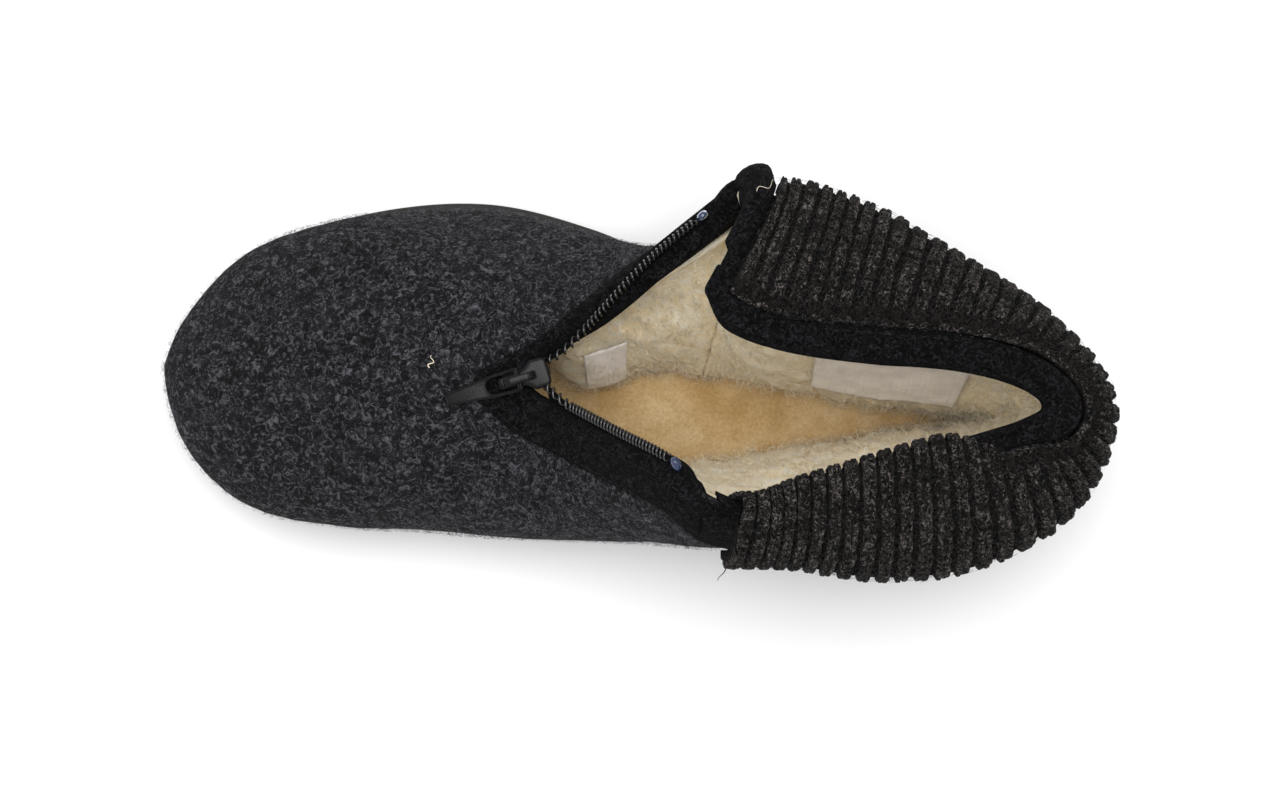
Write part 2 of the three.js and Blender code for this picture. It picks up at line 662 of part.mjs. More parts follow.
function zipHalf(side, surface, from, to, sign) {
  // One half of the open zip, from the slider's shoulder to its top stop
  const port = sliderPoint(PORT.ahead, sign * PORT.side, PORT.up);
  const rounds = edgeWalk(surface, from, to, 60);
  const flip = sign > 0 ? (list) => [...list].reverse() : (list) => list;
  const cut = rounds.length - 1 - STOP_STEPS;
  const chainRounds = flip(rounds.slice(0, cut).filter((round, i) => i % 2 === 0));
  const stopRounds = flip(rounds.slice(cut));
  return [
    sweep(`zip_chain_${side}`, coilLoops(surface, chainRounds, port, 0), 0x0e0e10, 0.4, 0),
    sweep(`zip_stop_${side}`, coilLoops(surface, stopRounds, port, STOP_GROW), 0x7f8ba0, 0.3, 0),
  ];
}

// Slider: a top plate with a nose and shoulders, a lower body in the slot, and a crown for the pull
function solid(geometry) {
  geometry.deleteAttribute('normal');
  geometry.deleteAttribute('uv');
  const merged = mergeVertices(geometry, 1e-4);
  return new wasm.Manifold(new wasm.Mesh({
    numProp: 3,
    vertProperties: new Float32Array(merged.attributes.position.array),
    triVerts: new Uint32Array(merged.index.array),
  }));
}

function solidMesh(name, body, colour) {
  const { vertProperties, triVerts } = body.getMesh();
  const geometry = new THREE.BufferGeometry();
  geometry.setAttribute('position', new THREE.Float32BufferAttribute(vertProperties, 3));
  geometry.setIndex(Array.from(triVerts));
  geometry.computeVertexNormals();
  const mesh = new THREE.Mesh(geometry, new THREE.MeshStandardMaterial({ color: colour, roughness: 0.35, metalness: 0.6 }));
  mesh.name = name;
  return mesh;
}

function mirrored(half) {
  // Closed outline from one side's corners, given from the toe end to the heel end
  const corners = [...half, ...half.map(([x, y]) => [x, -y]).reverse()];
  return corners.map(([x, y]) => new THREE.Vector2(x, y));
}

function prism(corners, depth, holes = []) {
  const shape = new THREE.Shape(corners);
  shape.holes = holes.map((hole) => new THREE.Path(hole));
  return new THREE.ExtrudeGeometry(shape, { depth, bevelEnabled: false });
}

function slider() {
  const wide = SLIDER_WIDTH / 2;
  const nose = SLIDER_NOSE / 2;
  const plate = prism(mirrored([
    [SLIDER_NOSE_REACH, nose * 0.7], [SLIDER_NOSE_REACH - 1.2, nose], [0, nose], [-2.2, nose + 0.7],
    [-4, wide], [-SLIDER_HEEL + 1, wide], [-SLIDER_HEEL, wide - 1],
  ]), SLIDER_PLATE);
  const body = prism(mirrored([
    [-5, 0.9], [-SLIDER_HEEL + 1, 1.5], [-SLIDER_HEEL, 1.2],
  ]), SLIDER_BODY + 0.1);
  body.translate(0, 0, -SLIDER_BODY);
  const crown = prism([
    [4.4, 0], [4.4, 2.6], [3.2, CROWN_HEIGHT], [-4, CROWN_HEIGHT], [-5.2, 2.6], [-5.2, 0], [-4, 0],
    [-4, 2.2], [-3.4, 2.8], [2.6, 2.8], [3.2, 2.2], [3.2, 0],
  ].map(([x, y]) => new THREE.Vector2(x, y)), CROWN_WIDTH);
  crown.rotateX(Math.PI / 2);
  crown.translate(0, CROWN_WIDTH / 2, SLIDER_PLATE - 0.05);
  return solidMesh('zip_slider', solid(plate).add(solid(body)).add(solid(crown)), 0x111113);
}

// Pull: two arms and a bar around the crown, and a tapered tab with a sunk panel in its top
function zipPull() {
  const outer = mirrored([
    [PULL_LENGTH, 1.1], [PULL_LENGTH - 0.7, 1.75], [11.4, 2.85], [8, 3.3], [0, PULL_WIDTH / 2], [-0.65, PULL_WIDTH / 2 - 0.5],
  ]);
  const hole = mirrored([
    [9.8, 0.9], [9.2, 1.8], [7.8, PULL_HOLE / 2], [0.65, PULL_HOLE / 2],
  ]).reverse();
  const panel = prism(mirrored([[PULL_LENGTH - 1.6, 0.9], [11.2, 1.9]]), 1);
  panel.translate(0, 0, PULL_THICKNESS - 0.25);
  const tab = solid(prism(outer, PULL_THICKNESS, [hole])).subtract(solid(panel));
  const mesh = solidMesh('zip_pull', tab, 0x141416);
  mesh.geometry.translate(0, 0, -PULL_THICKNESS / 2);
  return mesh;
}

const pivotUp = SLIDER_PLATE + PULL_THICKNESS * 0.75;

function restSlope() {
  // Steepest downward slope at which the tab still clears the facing and the felt under it
  const reaches = [9, 11, 13, 15, 17, 19, 21, PULL_LENGTH];
  const slopes = reaches.map((reach) => {
    const t = vampSurface.shareAt(0.5, reach + 1);
    const cover = reach < facingWidth(0.5).x + 1 ? FELT_GAP + FACING_FELT : 0;
    const top = offsetPoint(vampSurface, 0.5, t, cover + PULL_REST).sub(sliderSeat);
    return Math.atan2(pivotUp - PULL_THICKNESS / 2 - top.dot(throatUp), reach);
  });
  return Math.min(...slopes);
}

function zipGroup() {
  const parts = new THREE.Group();
  const basis = new THREE.Matrix4().makeBasis(sliderAhead, sliderSide, throatUp);
  parts.quaternion.setFromRotationMatrix(basis);
  parts.position.copy(sliderSeat);
  const pull = zipPull();
  pull.position.set(0, 0, pivotUp);
  pull.rotation.y = restSlope();
  parts.add(slider(), pull);
  return parts;
}

const group = new THREE.Group();
group.add(outsole(), insole(), upper(), throatFacing(), collarBinding(), flapBinding(), knitCuff());
group.add(...zipHalf('lateral', vampSurface, 0.365, 0.222, -1));
group.add(...zipHalf('medial', collarSurface, -0.343, -0.226, 1));
group.add(zipGroup());

export default group;
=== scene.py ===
import math

import bpy
import numpy as np
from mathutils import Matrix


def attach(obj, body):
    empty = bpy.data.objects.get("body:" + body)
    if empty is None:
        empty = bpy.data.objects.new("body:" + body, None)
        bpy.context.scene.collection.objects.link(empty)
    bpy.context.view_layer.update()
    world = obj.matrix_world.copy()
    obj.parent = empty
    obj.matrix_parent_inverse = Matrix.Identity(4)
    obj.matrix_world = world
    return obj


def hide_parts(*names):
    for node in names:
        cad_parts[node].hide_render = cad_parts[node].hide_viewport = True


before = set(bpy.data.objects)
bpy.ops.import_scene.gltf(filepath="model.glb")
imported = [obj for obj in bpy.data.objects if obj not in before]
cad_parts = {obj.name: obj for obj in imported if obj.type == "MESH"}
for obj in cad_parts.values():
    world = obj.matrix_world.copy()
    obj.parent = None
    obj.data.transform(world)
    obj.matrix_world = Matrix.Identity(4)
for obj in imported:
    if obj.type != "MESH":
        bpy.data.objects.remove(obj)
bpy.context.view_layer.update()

# Studio: the photograph looks straight down on the slipper from about 0.9 m.
# A white sweep on the floor, one broad soft light overhead and two weaker ones from the sides.
EYE_HEIGHT = 0.900
FRAME_WIDTH_AT_FLOOR = 0.3974
SENSOR_WIDTH = 36.0

camera_data = bpy.data.cameras.new("overhead_camera")
camera_data.sensor_width = SENSOR_WIDTH
camera_data.lens = SENSOR_WIDTH * EYE_HEIGHT / FRAME_WIDTH_AT_FLOOR
camera_data.clip_start = 0.01
camera = bpy.data.objects.new("overhead_camera", camera_data)
camera.location = (-0.095, -0.003, EYE_HEIGHT)
bpy.context.scene.collection.objects.link(camera)
bpy.context.scene.camera = camera


def srgb(code):
    """Linear colour, with alpha, from an sRGB hex value such as 3a3a3e."""
    parts = [int(code[i:i + 2], 16) / 255 for i in (0, 2, 4)]
    return [c / 12.92 if c <= 0.04045 else ((c + 0.055) / 1.055) ** 2.4 for c in parts] + [1.0]


class Finish:
    """A material with a Principled shader, whose constants are set on its own sockets."""

    def __init__(self, name, **values):
        self.material = bpy.data.materials.new(name)
        self.material.use_nodes = True
        self.tree = self.material.node_tree
        self.shader = self.tree.nodes["Principled BSDF"]
        for key, value in values.items():
            self.shader.inputs[key.replace("_", " ")].default_value = value

    def node(self, kind, settings=None, **links):
        """A shader node with its settings and inputs; an input is given an output socket or a number."""
        made = self.tree.nodes.new(kind)
        for name, value in (settings or {}).items():
            setattr(made, name, value)
        for name, value in links.items():
            numbered = name[0] == "n" and name[1:].isdigit()
            socket = made.inputs[int(name[1:]) if numbered else name.replace("_", " ")]
            if isinstance(value, bpy.types.NodeSocket):
                self.tree.links.new(value, socket)
            else:
                socket.default_value = value
        return made

    def place(self):
        return self.node("ShaderNodeTexCoord").outputs["Object"]

    def noise(self, size_mm, detail=3.0, roughness=0.55, distortion=0.0):
        """Noise whose grains are about size_mm across."""
        return self.node("ShaderNodeTexNoise", Vector=self.place(), Scale=1 / (size_mm * MM), Detail=detail,
                         Roughness=roughness, Distortion=distortion).outputs["Fac"]

    def ramp(self, factor, *stops):
        """Colour ramp through (place, sRGB hex) stops."""
        made = self.node("ShaderNodeValToRGB", Fac=factor)
        elements = made.color_ramp.elements
        while len(elements) < len(stops):
            elements.new(0.5)
        for element, (place, code) in zip(elements, stops):
            element.position = place
            element.color = srgb(code)
        return made.outputs["Color"]

    def mixed(self, share, first, second, blend="MULTIPLY"):
        return self.node("ShaderNodeMixRGB", {"blend_type": blend}, Fac=share, Color1=first,
                         Color2=second).outputs["Color"]

    def paint(self, colour):
        self.tree.links.new(colour, self.shader.inputs["Base Color"])

    def bump(self, height, relief_mm, strength=1.0, below=None):
        """Bump from a height, laid over a coarser one if given."""
        bump = self.node("ShaderNodeBump", Height=height, Strength=strength, Distance=relief_mm * MM)
        if below is not None:
            self.tree.links.new(below.outputs["Normal"], bump.inputs["Normal"])
        self.tree.links.new(bump.outputs["Normal"], self.shader.inputs["Normal"])
        return bump


def area_light(name, place, aim, size, power):
    data = bpy.data.lights.new(name, "AREA")
    data.shape = "DISK"
    data.size = size
    data.energy = power
    light = bpy.data.objects.new(name, data)
    light.location = place
    way = np.array(aim) - np.array(place)
    light.rotation_euler = (math.atan2(math.hypot(way[0], way[1]), -way[2]), 0, math.atan2(way[0], -way[1]))
    bpy.context.scene.collection.objects.link(light)


area_light("overhead_softbox", (-0.15, 0.25, 1.5), (-0.1, 0, 0), 1.1, 18)
area_light("toe_side_fill", (-1.3, 0.7, 0.9), (-0.1, 0, 0.05), 0.9, 8)
area_light("near_side_fill", (0.4, -1.3, 1.0), (-0.1, 0, 0.05), 0.8, 9)

world = bpy.data.worlds.new("white_studio")
bpy.context.scene.world = world
world.use_nodes = True
world.node_tree.nodes["Background"].inputs["Color"].default_value = (1, 1, 1, 1)
world.node_tree.nodes["Background"].inputs["Strength"].default_value = 0.74
bpy.context.scene.view_settings.view_transform = "Standard"

floor_mesh = bpy.data.meshes.new("studio_floor")
floor_mesh.from_pydata([(-6, -6, 0), (6, -6, 0), (6, 6, 0), (-6, 6, 0)], [], [(0, 1, 2, 3)])
floor = bpy.data.objects.new("studio_floor", floor_mesh)
bpy.context.scene.collection.objects.link(floor)
floor_finish = Finish("matt white studio floor", Base_Color=srgb("fbfbfb"), Roughness=0.9)
floor_mesh.materials.append(floor_finish.material)

# Moulded sole: dark rubber, cast in one piece with a proud edge under the felt and fine flutes
# in its side. The last's outline, heel seat, arch and toe spring follow the solids'.
MM = 0.001
SOLE_LENGTH = 271
HEEL_OVERHANG = 34
BALL_WIDTH = 100
SHAFT_HEIGHT = 112
HEEL_THICKNESS = 12
FOREFOOT_THICKNESS = 8
TOE_SPRING = 7
ARCH_LIFT = 3
FEATHER_INSET = 3
GAP = 0.3
UP = np.array([0.0, 0.0, 1.0])

# along, lateral and medial half widths, as shares of the sole's length and of the ball's width
OUTLINE = np.array([
    [0.03, 0.09, 0.21], [0.10, 0.21, 0.325], [0.20, 0.26, 0.37], [0.31, 0.295, 0.385],
    [0.42, 0.37, 0.40], [0.53, 0.495, 0.42], [0.64, 0.57, 0.43], [0.75, 0.56, 0.415],
    [0.85, 0.49, 0.38], [0.93, 0.365, 0.30], [0.983, 0.195, 0.165],
])
HEEL_CENTRE = -0.06
TOE_CENTRE = 0.01


def sole_x(along):
    return HEEL_OVERHANG - along * SOLE_LENGTH

def unit(vectors):
    return vectors / np.linalg.norm(vectors, axis=-1, keepdims=True)


def run_of(points):
    """Length walked up to each point of a line, or of each line in a grid."""
    steps = np.linalg.norm(np.diff(points, axis=-2), axis=-1)
    return np.concatenate([np.zeros_like(steps[..., :1]), np.cumsum(steps, axis=-1)], axis=-1)


def spread(*values):
    """The values as arrays of one shape."""
    return np.broadcast_arrays(*(np.asarray(value, float) for value in values))


def last_outline(samples=2400, divisions=600):
    """Points and unit tangents at equal steps around the last, from the heel's back, on a centripetal spline."""
    lateral = [[sole_x(a), l * BALL_WIDTH] for a, l, m in OUTLINE]
    medial = [[sole_x(a), -m * BALL_WIDTH] for a, l, m in OUTLINE[::-1]]
    heel, toe = [sole_x(0), HEEL_CENTRE * BALL_WIDTH], [sole_x(1), TOE_CENTRE * BALL_WIDTH]
    knots = np.array([heel, *lateral, toe, *medial])
    count = len(knots)

    def at(t):
        place = np.mod(t, 1.0) * count
        i = np.floor(place).astype(int) % count
        w = (place - np.floor(place))[:, None]
        p0, p1, p2, p3 = (knots[(i + k) % count] for k in (-1, 0, 1, 2))
        pairs = ((p0, p1), (p1, p2), (p2, p3))
        d0, d1, d2 = (np.sqrt(np.linalg.norm(b - a, axis=1))[:, None] for a, b in pairs)
        m1 = ((p1 - p0) / d0 - (p2 - p0) / (d0 + d1) + (p2 - p1) / d1) * d1
        m2 = ((p2 - p1) / d1 - (p3 - p1) / (d1 + d2) + (p3 - p2) / d2) * d1
        return p1 + m1 * w + (3 * (p2 - p1) - 2 * m1 - m2) * w ** 2 + (2 * (p1 - p2) + m1 + m2) * w ** 3

    steps = np.linspace(0, 1, divisions + 1)
    lengths = run_of(at(steps))
    t = np.interp(np.linspace(0, lengths[-1], samples + 1), lengths, steps)
    points = at(t)
    tangents = at(t + 1e-4) - at(t - 1e-4)
    return points, unit(tangents)


outline_points, outline_tangents = last_outline()
outline_shares = np.linspace(0, 1, len(outline_points))


def at_round(table, turn):
    """Values of a table around the last, at shares of the way round; minus is the medial side."""
    turn = np.mod(turn, 1.0)
    return np.stack([np.interp(turn, outline_shares, table[:, k]) for k in range(table.shape[1])], axis=-1)


def outward(turn):
    """The level direction away from the foot."""
    tangent = at_round(outline_tangents, turn)
    flat = np.stack([tangent[..., 1], -tangent[..., 0], np.zeros_like(tangent[..., 0])], axis=-1)
    return unit(flat)


def smooth_step(start, end, at):
    t = np.clip((at - start) / (end - start), 0, 1)
    return t * t * (3 - 2 * t)


def toe_lift(x):
    return TOE_SPRING * (np.maximum((HEEL_OVERHANG - x) / SOLE_LENGTH - 0.72, 0) / 0.28) ** 2


def sole_bottom(x):
    along = (HEEL_OVERHANG - x) / SOLE_LENGTH
    return ARCH_LIFT * smooth_step(0.25, 0.33, along) * (1 - smooth_step(0.38, 0.47, along)) + toe_lift(x)


def sole_top(x):
    blend = smooth_step(0.22, 0.58, (HEEL_OVERHANG - x) / SOLE_LENGTH)
    return HEEL_THICKNESS * (1 - blend) + FOREFOOT_THICKNESS * blend + toe_lift(x)


def last_ring(turn, inset, height):
    flat = at_round(outline_points, turn)
    points = np.concatenate([flat, np.zeros_like(flat[..., :1])], axis=-1)
    points = points - outward(turn) * np.asarray(inset)[..., None]
    points[..., 2] = height(points[..., 0])
    return points


def add_piece(name, points, faces, finish, body="root", stands_for=(), finish_slot=None):
    """A mesh object in millimetres that rides on a CAD body, stands for CAD nodes and has one material."""
    mesh = bpy.data.meshes.new(name)
    mesh.vertices.add(len(points))
    mesh.vertices.foreach_set("co", np.asarray(points, dtype=np.float32).ravel() * MM)
    if isinstance(faces, np.ndarray):
        sizes = np.full(len(faces), faces.shape[1], dtype=np.int32)
        corners = faces.ravel()
    else:
        sizes = np.array([len(face) for face in faces], dtype=np.int32)
        corners = np.concatenate([np.asarray(face) for face in faces])
    mesh.loops.add(len(corners))
    mesh.loops.foreach_set("vertex_index", corners.astype(np.int32))
    mesh.polygons.add(len(sizes))
    starts = np.concatenate([[0], np.cumsum(sizes)[:-1]]).astype(np.int32)
    mesh.polygons.foreach_set("loop_start", starts)
    mesh.polygons.foreach_set("use_smooth", np.ones(len(sizes), dtype=bool))
    mesh.update(calc_edges=True)
    mesh.validate()
    mesh.materials.append(finish.material)
    piece = bpy.data.objects.new(name, mesh)
    bpy.context.scene.collection.objects.link(piece)
    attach(piece, body)
    if stands_for:
        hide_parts(*stands_for)
    return piece


def tube_faces(rings, sides, closed_ends=True, start=0):
    """Quads between equal closed rings, and a flat face over each end."""
    i, j = np.meshgrid(np.arange(rings - 1), np.arange(sides), indexing="ij")
    a = start + i * sides + j
    b = start + i * sides + (j + 1) % sides
    quads = np.stack([a, b, b + sides, a + sides], axis=-1).reshape(-1, 4)
    faces = [tuple(q) for q in quads.tolist()]
    if closed_ends:
        faces.append(tuple(range(start + sides - 1, start - 1, -1)))
        faces.append(tuple(range(start + (rings - 1) * sides, start + rings * sides)))
    return faces
def add_tube(name, rings, finish, **claims):
    """A piece swept through equal closed rings, (rings, sides, 3)."""
    return add_piece(name, rings.reshape(-1, 3), tube_faces(*rings.shape[:2]), finish, **claims)


def middle_seam(start, count):
    """Faces that close a flat ring across its middle line, pairing the two sides of the foot."""
    faces = []
    for i in range(count // 2):
        ring = [start + i, start + i + 1, start + (count - i - 1) % count, start + (count - i) % count]
        faces.append(tuple(dict.fromkeys(ring)))
    return faces


def add_foot_plate(name, rings, finish, **claims):
    """A piece through rings round the foot, closed along its middle line underneath and on top."""
    count = len(rings[0])
    faces = tube_faces(len(rings), count, closed_ends=False)
    faces += [face[::-1] for face in middle_seam(0, count)]
    faces += middle_seam((len(rings) - 1) * count, count)
    add_piece(name, np.concatenate(rings), faces, finish, **claims)


# Synthetic rubber, moulded: it is matt, near black and faintly grained
rubber = Finish("moulded rubber", Roughness=0.72, IOR=1.52)
speckle = rubber.noise(1.2)
rubber.paint(rubber.ramp(speckle, (0.3, "161515"), (0.7, "262423")))
rubber.bump(speckle, 0.12, 0.6)

SOLE_TURNS = 720
FLUTES = 180
FLUTE_DEPTH = 0.22
TREAD_PITCH = 6.0
TREAD_WAVE = 22.0
TREAD_DEPTH = 0.9
sole_turns = np.arange(SOLE_TURNS) / SOLE_TURNS
flute = FLUTE_DEPTH * np.cos(sole_turns * FLUTES * 2 * math.pi)
# share of the sole's thickness, distance in from the felt's line, share of the flutes
SOLE_SIDE = [
    (0, 5.0, 0), (0, 2.6, 0), (0.04, 1.6, 0), (0.12, 1.05, 0.4), (0.20, 0.85, 1), (0.46, 0.85, 1), (0.52, 0.8, 0.3),
    (0.57, 0.25, 0), (0.62, 0.04, 0), (0.72, 0, 0), (0.90, 0, 0), (0.96, 0.15, 0), (1, 0.6, 0), (1, 3.0, 0),
]


def sole_ring(up, inset, fluted):
    return last_ring(sole_turns, inset + flute * fluted, lambda x: sole_bottom(x) * (1 - up) + sole_top(x) * up)


sole_rings = [sole_ring(*row) for row in SOLE_SIDE]


def inner_rings(outer, steps, height):
    """Rings from an outer one towards the foot's middle line, for the face across the sole."""
    middle = outer.copy()
    count = len(outer)
    middle[:, :2] = (outer[:, :2] + outer[(count - np.arange(count)) % count][:, :2]) / 2
    rings = []
    for k in range(1, steps + 1):
        share = k / (steps + 0.6)
        ring = outer * (1 - share) + middle * share
        ring[:, 2] = height(ring[:, 0])
        rings.append(ring)
    return rings


# Tread: shallow cross grooves and a flat rim, cut into the rings that cross the underside
under_rings = inner_rings(sole_rings[0], 26, sole_bottom)
for ring in under_rings[2:]:
    bend = 1.6 * np.cos(ring[:, 1] * 2 * math.pi / TREAD_WAVE)
    groove = np.cos(ring[:, 0] * 2 * math.pi / TREAD_PITCH + bend)
    ring[:, 2] += TREAD_DEPTH * smooth_step(0.25, 0.55, groove)
all_rings = [*under_rings[::-1], *sole_rings, *inner_rings(sole_rings[-1], 4, sole_top)]
add_foot_plate("moulded_sole", all_rings, rubber, stands_for=["outsole"], finish_slot="sole")

# Footbed: tan wool felt, die cut and laid loose on the sole inside the lining.
# Its top is pressed nearly smooth, with low, wide unevenness all over.
FELT_WALL = 4
INSOLE_THICKNESS = 3.5
FOOTBED_INSET = FEATHER_INSET + FELT_WALL + 0.7
FOOTBED_EASE = 0.6


def lumps(points, size, seed):
    """Smooth noise between about -1 and 1 with lumps of a size, as a sum of turned waves."""
    rng = np.random.default_rng(seed)
    total = np.zeros(points.shape[:-1])
    for k in range(14):
        way = rng.normal(size=3)
        way *= rng.uniform(0.7, 1.5) * 2 * math.pi / (size * 1.6 * np.linalg.norm(way))
        total += np.cos(points @ way + rng.uniform(0, 2 * math.pi))
    return total / 4.2


# Pressed wool felt: matt fibres that lie flat, over a slightly clouded ground
footbed_felt = Finish("pressed tan wool felt", Roughness=0.95, IOR=1.5, Specular_IOR_Level=0.15,
                      Sheen_Weight=0.3, Sheen_Roughness=0.5)
cloud = footbed_felt.noise(16, detail=5)
fibres = footbed_felt.noise(0.9, detail=6, roughness=0.7, distortion=0.6)
footbed_felt.paint(footbed_felt.mixed(
    0.55, footbed_felt.ramp(cloud, (0.34, "bf9f6b"), (0.5, "d0b181"), (0.68, "e0c89c")),
    footbed_felt.ramp(fibres, (0.3, "b9ab90"), (0.6, "ffffff"))))
footbed_felt.bump(fibres, 0.5, 0.9, footbed_felt.bump(cloud, 2, 0.5))

FOOTBED_TURNS = 360
footbed_turns = np.arange(FOOTBED_TURNS) / FOOTBED_TURNS


def footbed_face(up, steps, uneven):
    ring = last_ring(footbed_turns, FOOTBED_INSET + FOOTBED_EASE, lambda x: sole_top(x) + GAP + up)
    rings = [ring, *inner_rings(ring, steps, lambda x: sole_top(x) + GAP + up)]
    for r in rings:
        r[:, 2] += uneven * (0.35 * lumps(r, 14, 5) + 0.12 * lumps(r, 3, 6))
    return rings


footbed_rings = [*footbed_face(0.1, 4, 0)[::-1], *footbed_face(INSOLE_THICKNESS - 0.3, 46, 1)]
add_foot_plate("footbed", footbed_rings, footbed_felt, stands_for=["insole"], finish_slot="insole")

# Felt upper: one layer of thick charcoal wool felt, blocked on the last and stuck to the sole.
# Each section of its shape is a cubic from the feather line to the opening's edge.
COLLAR_FRONT = 0.205
APEX_SHARE = 0.5
# round, along, across, high, lean, rise, reach, drop, shift
COLLAR_SIDE = [
    (0.205, 0.406, 0.285, 0.91, 0.16, 0.36, 0.64, -0.06, 0.05),
    (0.185, 0.388, 0.19, 0.93, 0.14, 0.36, 0.67, -0.04, 0.03),
    (0.16, 0.332, 0.13, 0.935, 0.14, 0.36, 0.73, -0.02, 0.01),
    (0.12, 0.247, 0.095, 0.935, 0.13, 0.34, 0.63, 0, 0),
    (0.08, 0.157, 0.075, 0.93, 0.10, 0.32, 0.38, 0, 0),
    (0.04, 0.091, 0.03, 0.915, 0.07, 0.31, 0.23, 0, 0),
    (0, 0.057, -0.045, 0.90, 0.06, 0.31, 0.23, 0, 0),
    (-0.04, 0.083, -0.105, 0.91, 0.10, 0.31, 0.37, 0, 0),
    (-0.08, 0.152, -0.165, 0.92, 0.14, 0.32, 0.46, 0, 0),
    (-0.12, 0.236, -0.24, 0.93, 0.15, 0.34, 0.38, 0, 0),
    (-0.16, 0.317, -0.305, 0.94, 0.12, 0.34, 0.22, 0.02, 0),
    (-0.19, 0.369, -0.335, 0.965, 0.12, 0.34, 0.16, 0.04, 0),
    (-0.215, 0.419, -0.285, 1, 0.13, 0.34, 0.18, 0.07, 0),
    (-0.235, 0.448, -0.226, 0.98, 0.13, 0.34, 0.20, 0.09, 0),
    (-0.27, 0.497, -0.162, 0.84, 0.12, 0.30, 0.24, 0.09, 0),
    (-0.31, 0.544, -0.10, 0.70, 0.11, 0.26, 0.28, 0.07, 0),
    (-0.35, 0.576, -0.057, 0.62, 0.10, 0.24, 0.32, 0.05, 0),
    (-0.39, 0.592, -0.03, 0.59, 0.12, 0.23, 0.38, 0.035, 0),
    (-0.44, 0.600, 0, 0.58, 0.19, 0.24, 0.46, 0.03, 0),
    (-0.50, 0.602, 0.022, 0.576, 0.24, 0.28, 0.58, 0.03, 0),
]
VAMP_SIDE = [
    (0.23, 0.428, 0.45, 0.688, 0.06, 0.22, -0.06, 0.15, 0),
    (0.27, 0.472, 0.355, 0.656, 0.03, 0.23, -0.02, 0.13, 0),
    (0.31, 0.517, 0.25, 0.625, 0.04, 0.24, 0.08, 0.12, 0),
    (0.35, 0.557, 0.16, 0.598, 0.05, 0.24, 0.20, 0.07, 0),
    (0.39, 0.585, 0.095, 0.586, 0.11, 0.24, 0.34, 0.04, 0),
    (0.44, 0.600, 0.055, 0.58, 0.18, 0.25, 0.46, 0.03, 0),
]


def along_rows(keys, values):
    """Smooth curve through a table's rows at their own spacing, with finite-difference slopes."""
    keys = np.asarray(keys, dtype=float)
    values = np.asarray(values, dtype=float)
    before = np.maximum(np.arange(len(keys)) - 1, 0)
    after = np.minimum(np.arange(len(keys)) + 1, len(keys) - 1)
    slopes = (values[after] - values[before]) / (keys[after] - keys[before])[:, None]

    def at(where):
        where = np.asarray(where, dtype=float)
        i = np.clip(np.searchsorted(keys, where, side="left") - 1, 0, len(keys) - 2)
        span = keys[i + 1] - keys[i]
        t = ((where - keys[i]) / span)[..., None]
        span = span[..., None]
        return (values[i] * (1 - 3 * t ** 2 + 2 * t ** 3) + slopes[i] * span * (t - 2 * t ** 2 + t ** 3)
                + values[i + 1] * (3 * t ** 2 - 2 * t ** 3) + slopes[i + 1] * span * (t ** 3 - t ** 2))
    return at


def feather(turn):
    return last_ring(turn, np.full(np.shape(turn), FEATHER_INSET), lambda x: sole_top(x) + GAP)


def section_of(row):
    """Foot, first handle, last control point and edge of one section."""
    turn, along, across, high, lean, rise, reach, drop, shift = row
    out = outward(np.array(turn))
    edge = np.array([sole_x(along), across * BALL_WIDTH, high * SHAFT_HEIGHT])
    first = out * lean * BALL_WIDTH + UP * rise * SHAFT_HEIGHT
    last = edge + out * reach * BALL_WIDTH - UP * drop * SHAFT_HEIGHT + np.array([shift * SOLE_LENGTH, 0, 0])
    return turn, first, last, edge



def lower_part(section, share):
    """The same section cut at a share of its height, by halving its control lines."""
    turn, first, last, edge = section
    foot = feather(np.array(turn))
    ab = foot + first * share
    bc = foot + first + (last - foot - first) * share
    cd = last + (edge - last) * share
    abc = ab + (bc - ab) * share
    bcd = bc + (cd - bc) * share
    return turn, ab - foot, abc, abc + (bcd - abc) * share


class Felt:
    """A surface through sections: share 0 is the feather line and share 1 the opening's edge."""

    def __init__(self, sections):
        rows = sorted(sections, key=lambda s: s[0])
        turns = [s[0] for s in rows]
        self.low, self.high = turns[0], turns[-1]
        self.first, self.last, self.edge = (along_rows(turns, [s[k] for s in rows]) for k in (1, 2, 3))

    def at(self, turn, t):
        turn, t = spread(turn, t)
        foot = feather(turn)
        t = t[..., None]
        s = 1 - t
        return (foot * s ** 3 + (foot + self.first(turn)) * 3 * s ** 2 * t
                + self.last(turn) * 3 * s * t ** 2 + self.edge(turn) * t ** 3)

    def normal(self, turn, t):
        turn, t = spread(turn, t)
        across = self.at(np.minimum(turn + 0.002, self.high), t) - self.at(np.maximum(turn - 0.002, self.low), t)
        rise = self.at(turn, np.minimum(t + 0.01, 1)) - self.at(turn, np.maximum(t - 0.01, 0))
        return unit(np.cross(across, rise))

    def out(self, turn, t, distance):
        return self.at(turn, t) + self.normal(turn, t) * np.asarray(distance, float)[..., None]

    def share(self, turn, down):
        """Share of each section at a distance down from its edge."""
        turn, down = spread(turn, down)
        shares = 1 - np.linspace(0, 1, 61)
        different, back = np.unique(turn.ravel(), return_inverse=True)
        lengths = run_of(self.at(different[:, None], shares[None, :]))
        result = np.empty(turn.size)
        for k in range(len(different)):
            mine = back == k
            result[mine] = np.interp(down.ravel()[mine], lengths[k], shares)
        return result.reshape(turn.shape)

    def by_edge(self, turn, down, out):
        """Place at a distance down from the edge, or past it if minus, and a height over the face."""
        turn, down, out = spread(turn, down, out)
        point = self.out(turn, self.share(turn, np.maximum(down, 0)), out)
        rise = unit(self.at(turn, 1.0) - self.at(turn, 0.98))
        return point + rise * np.maximum(-down, 0)[..., None]


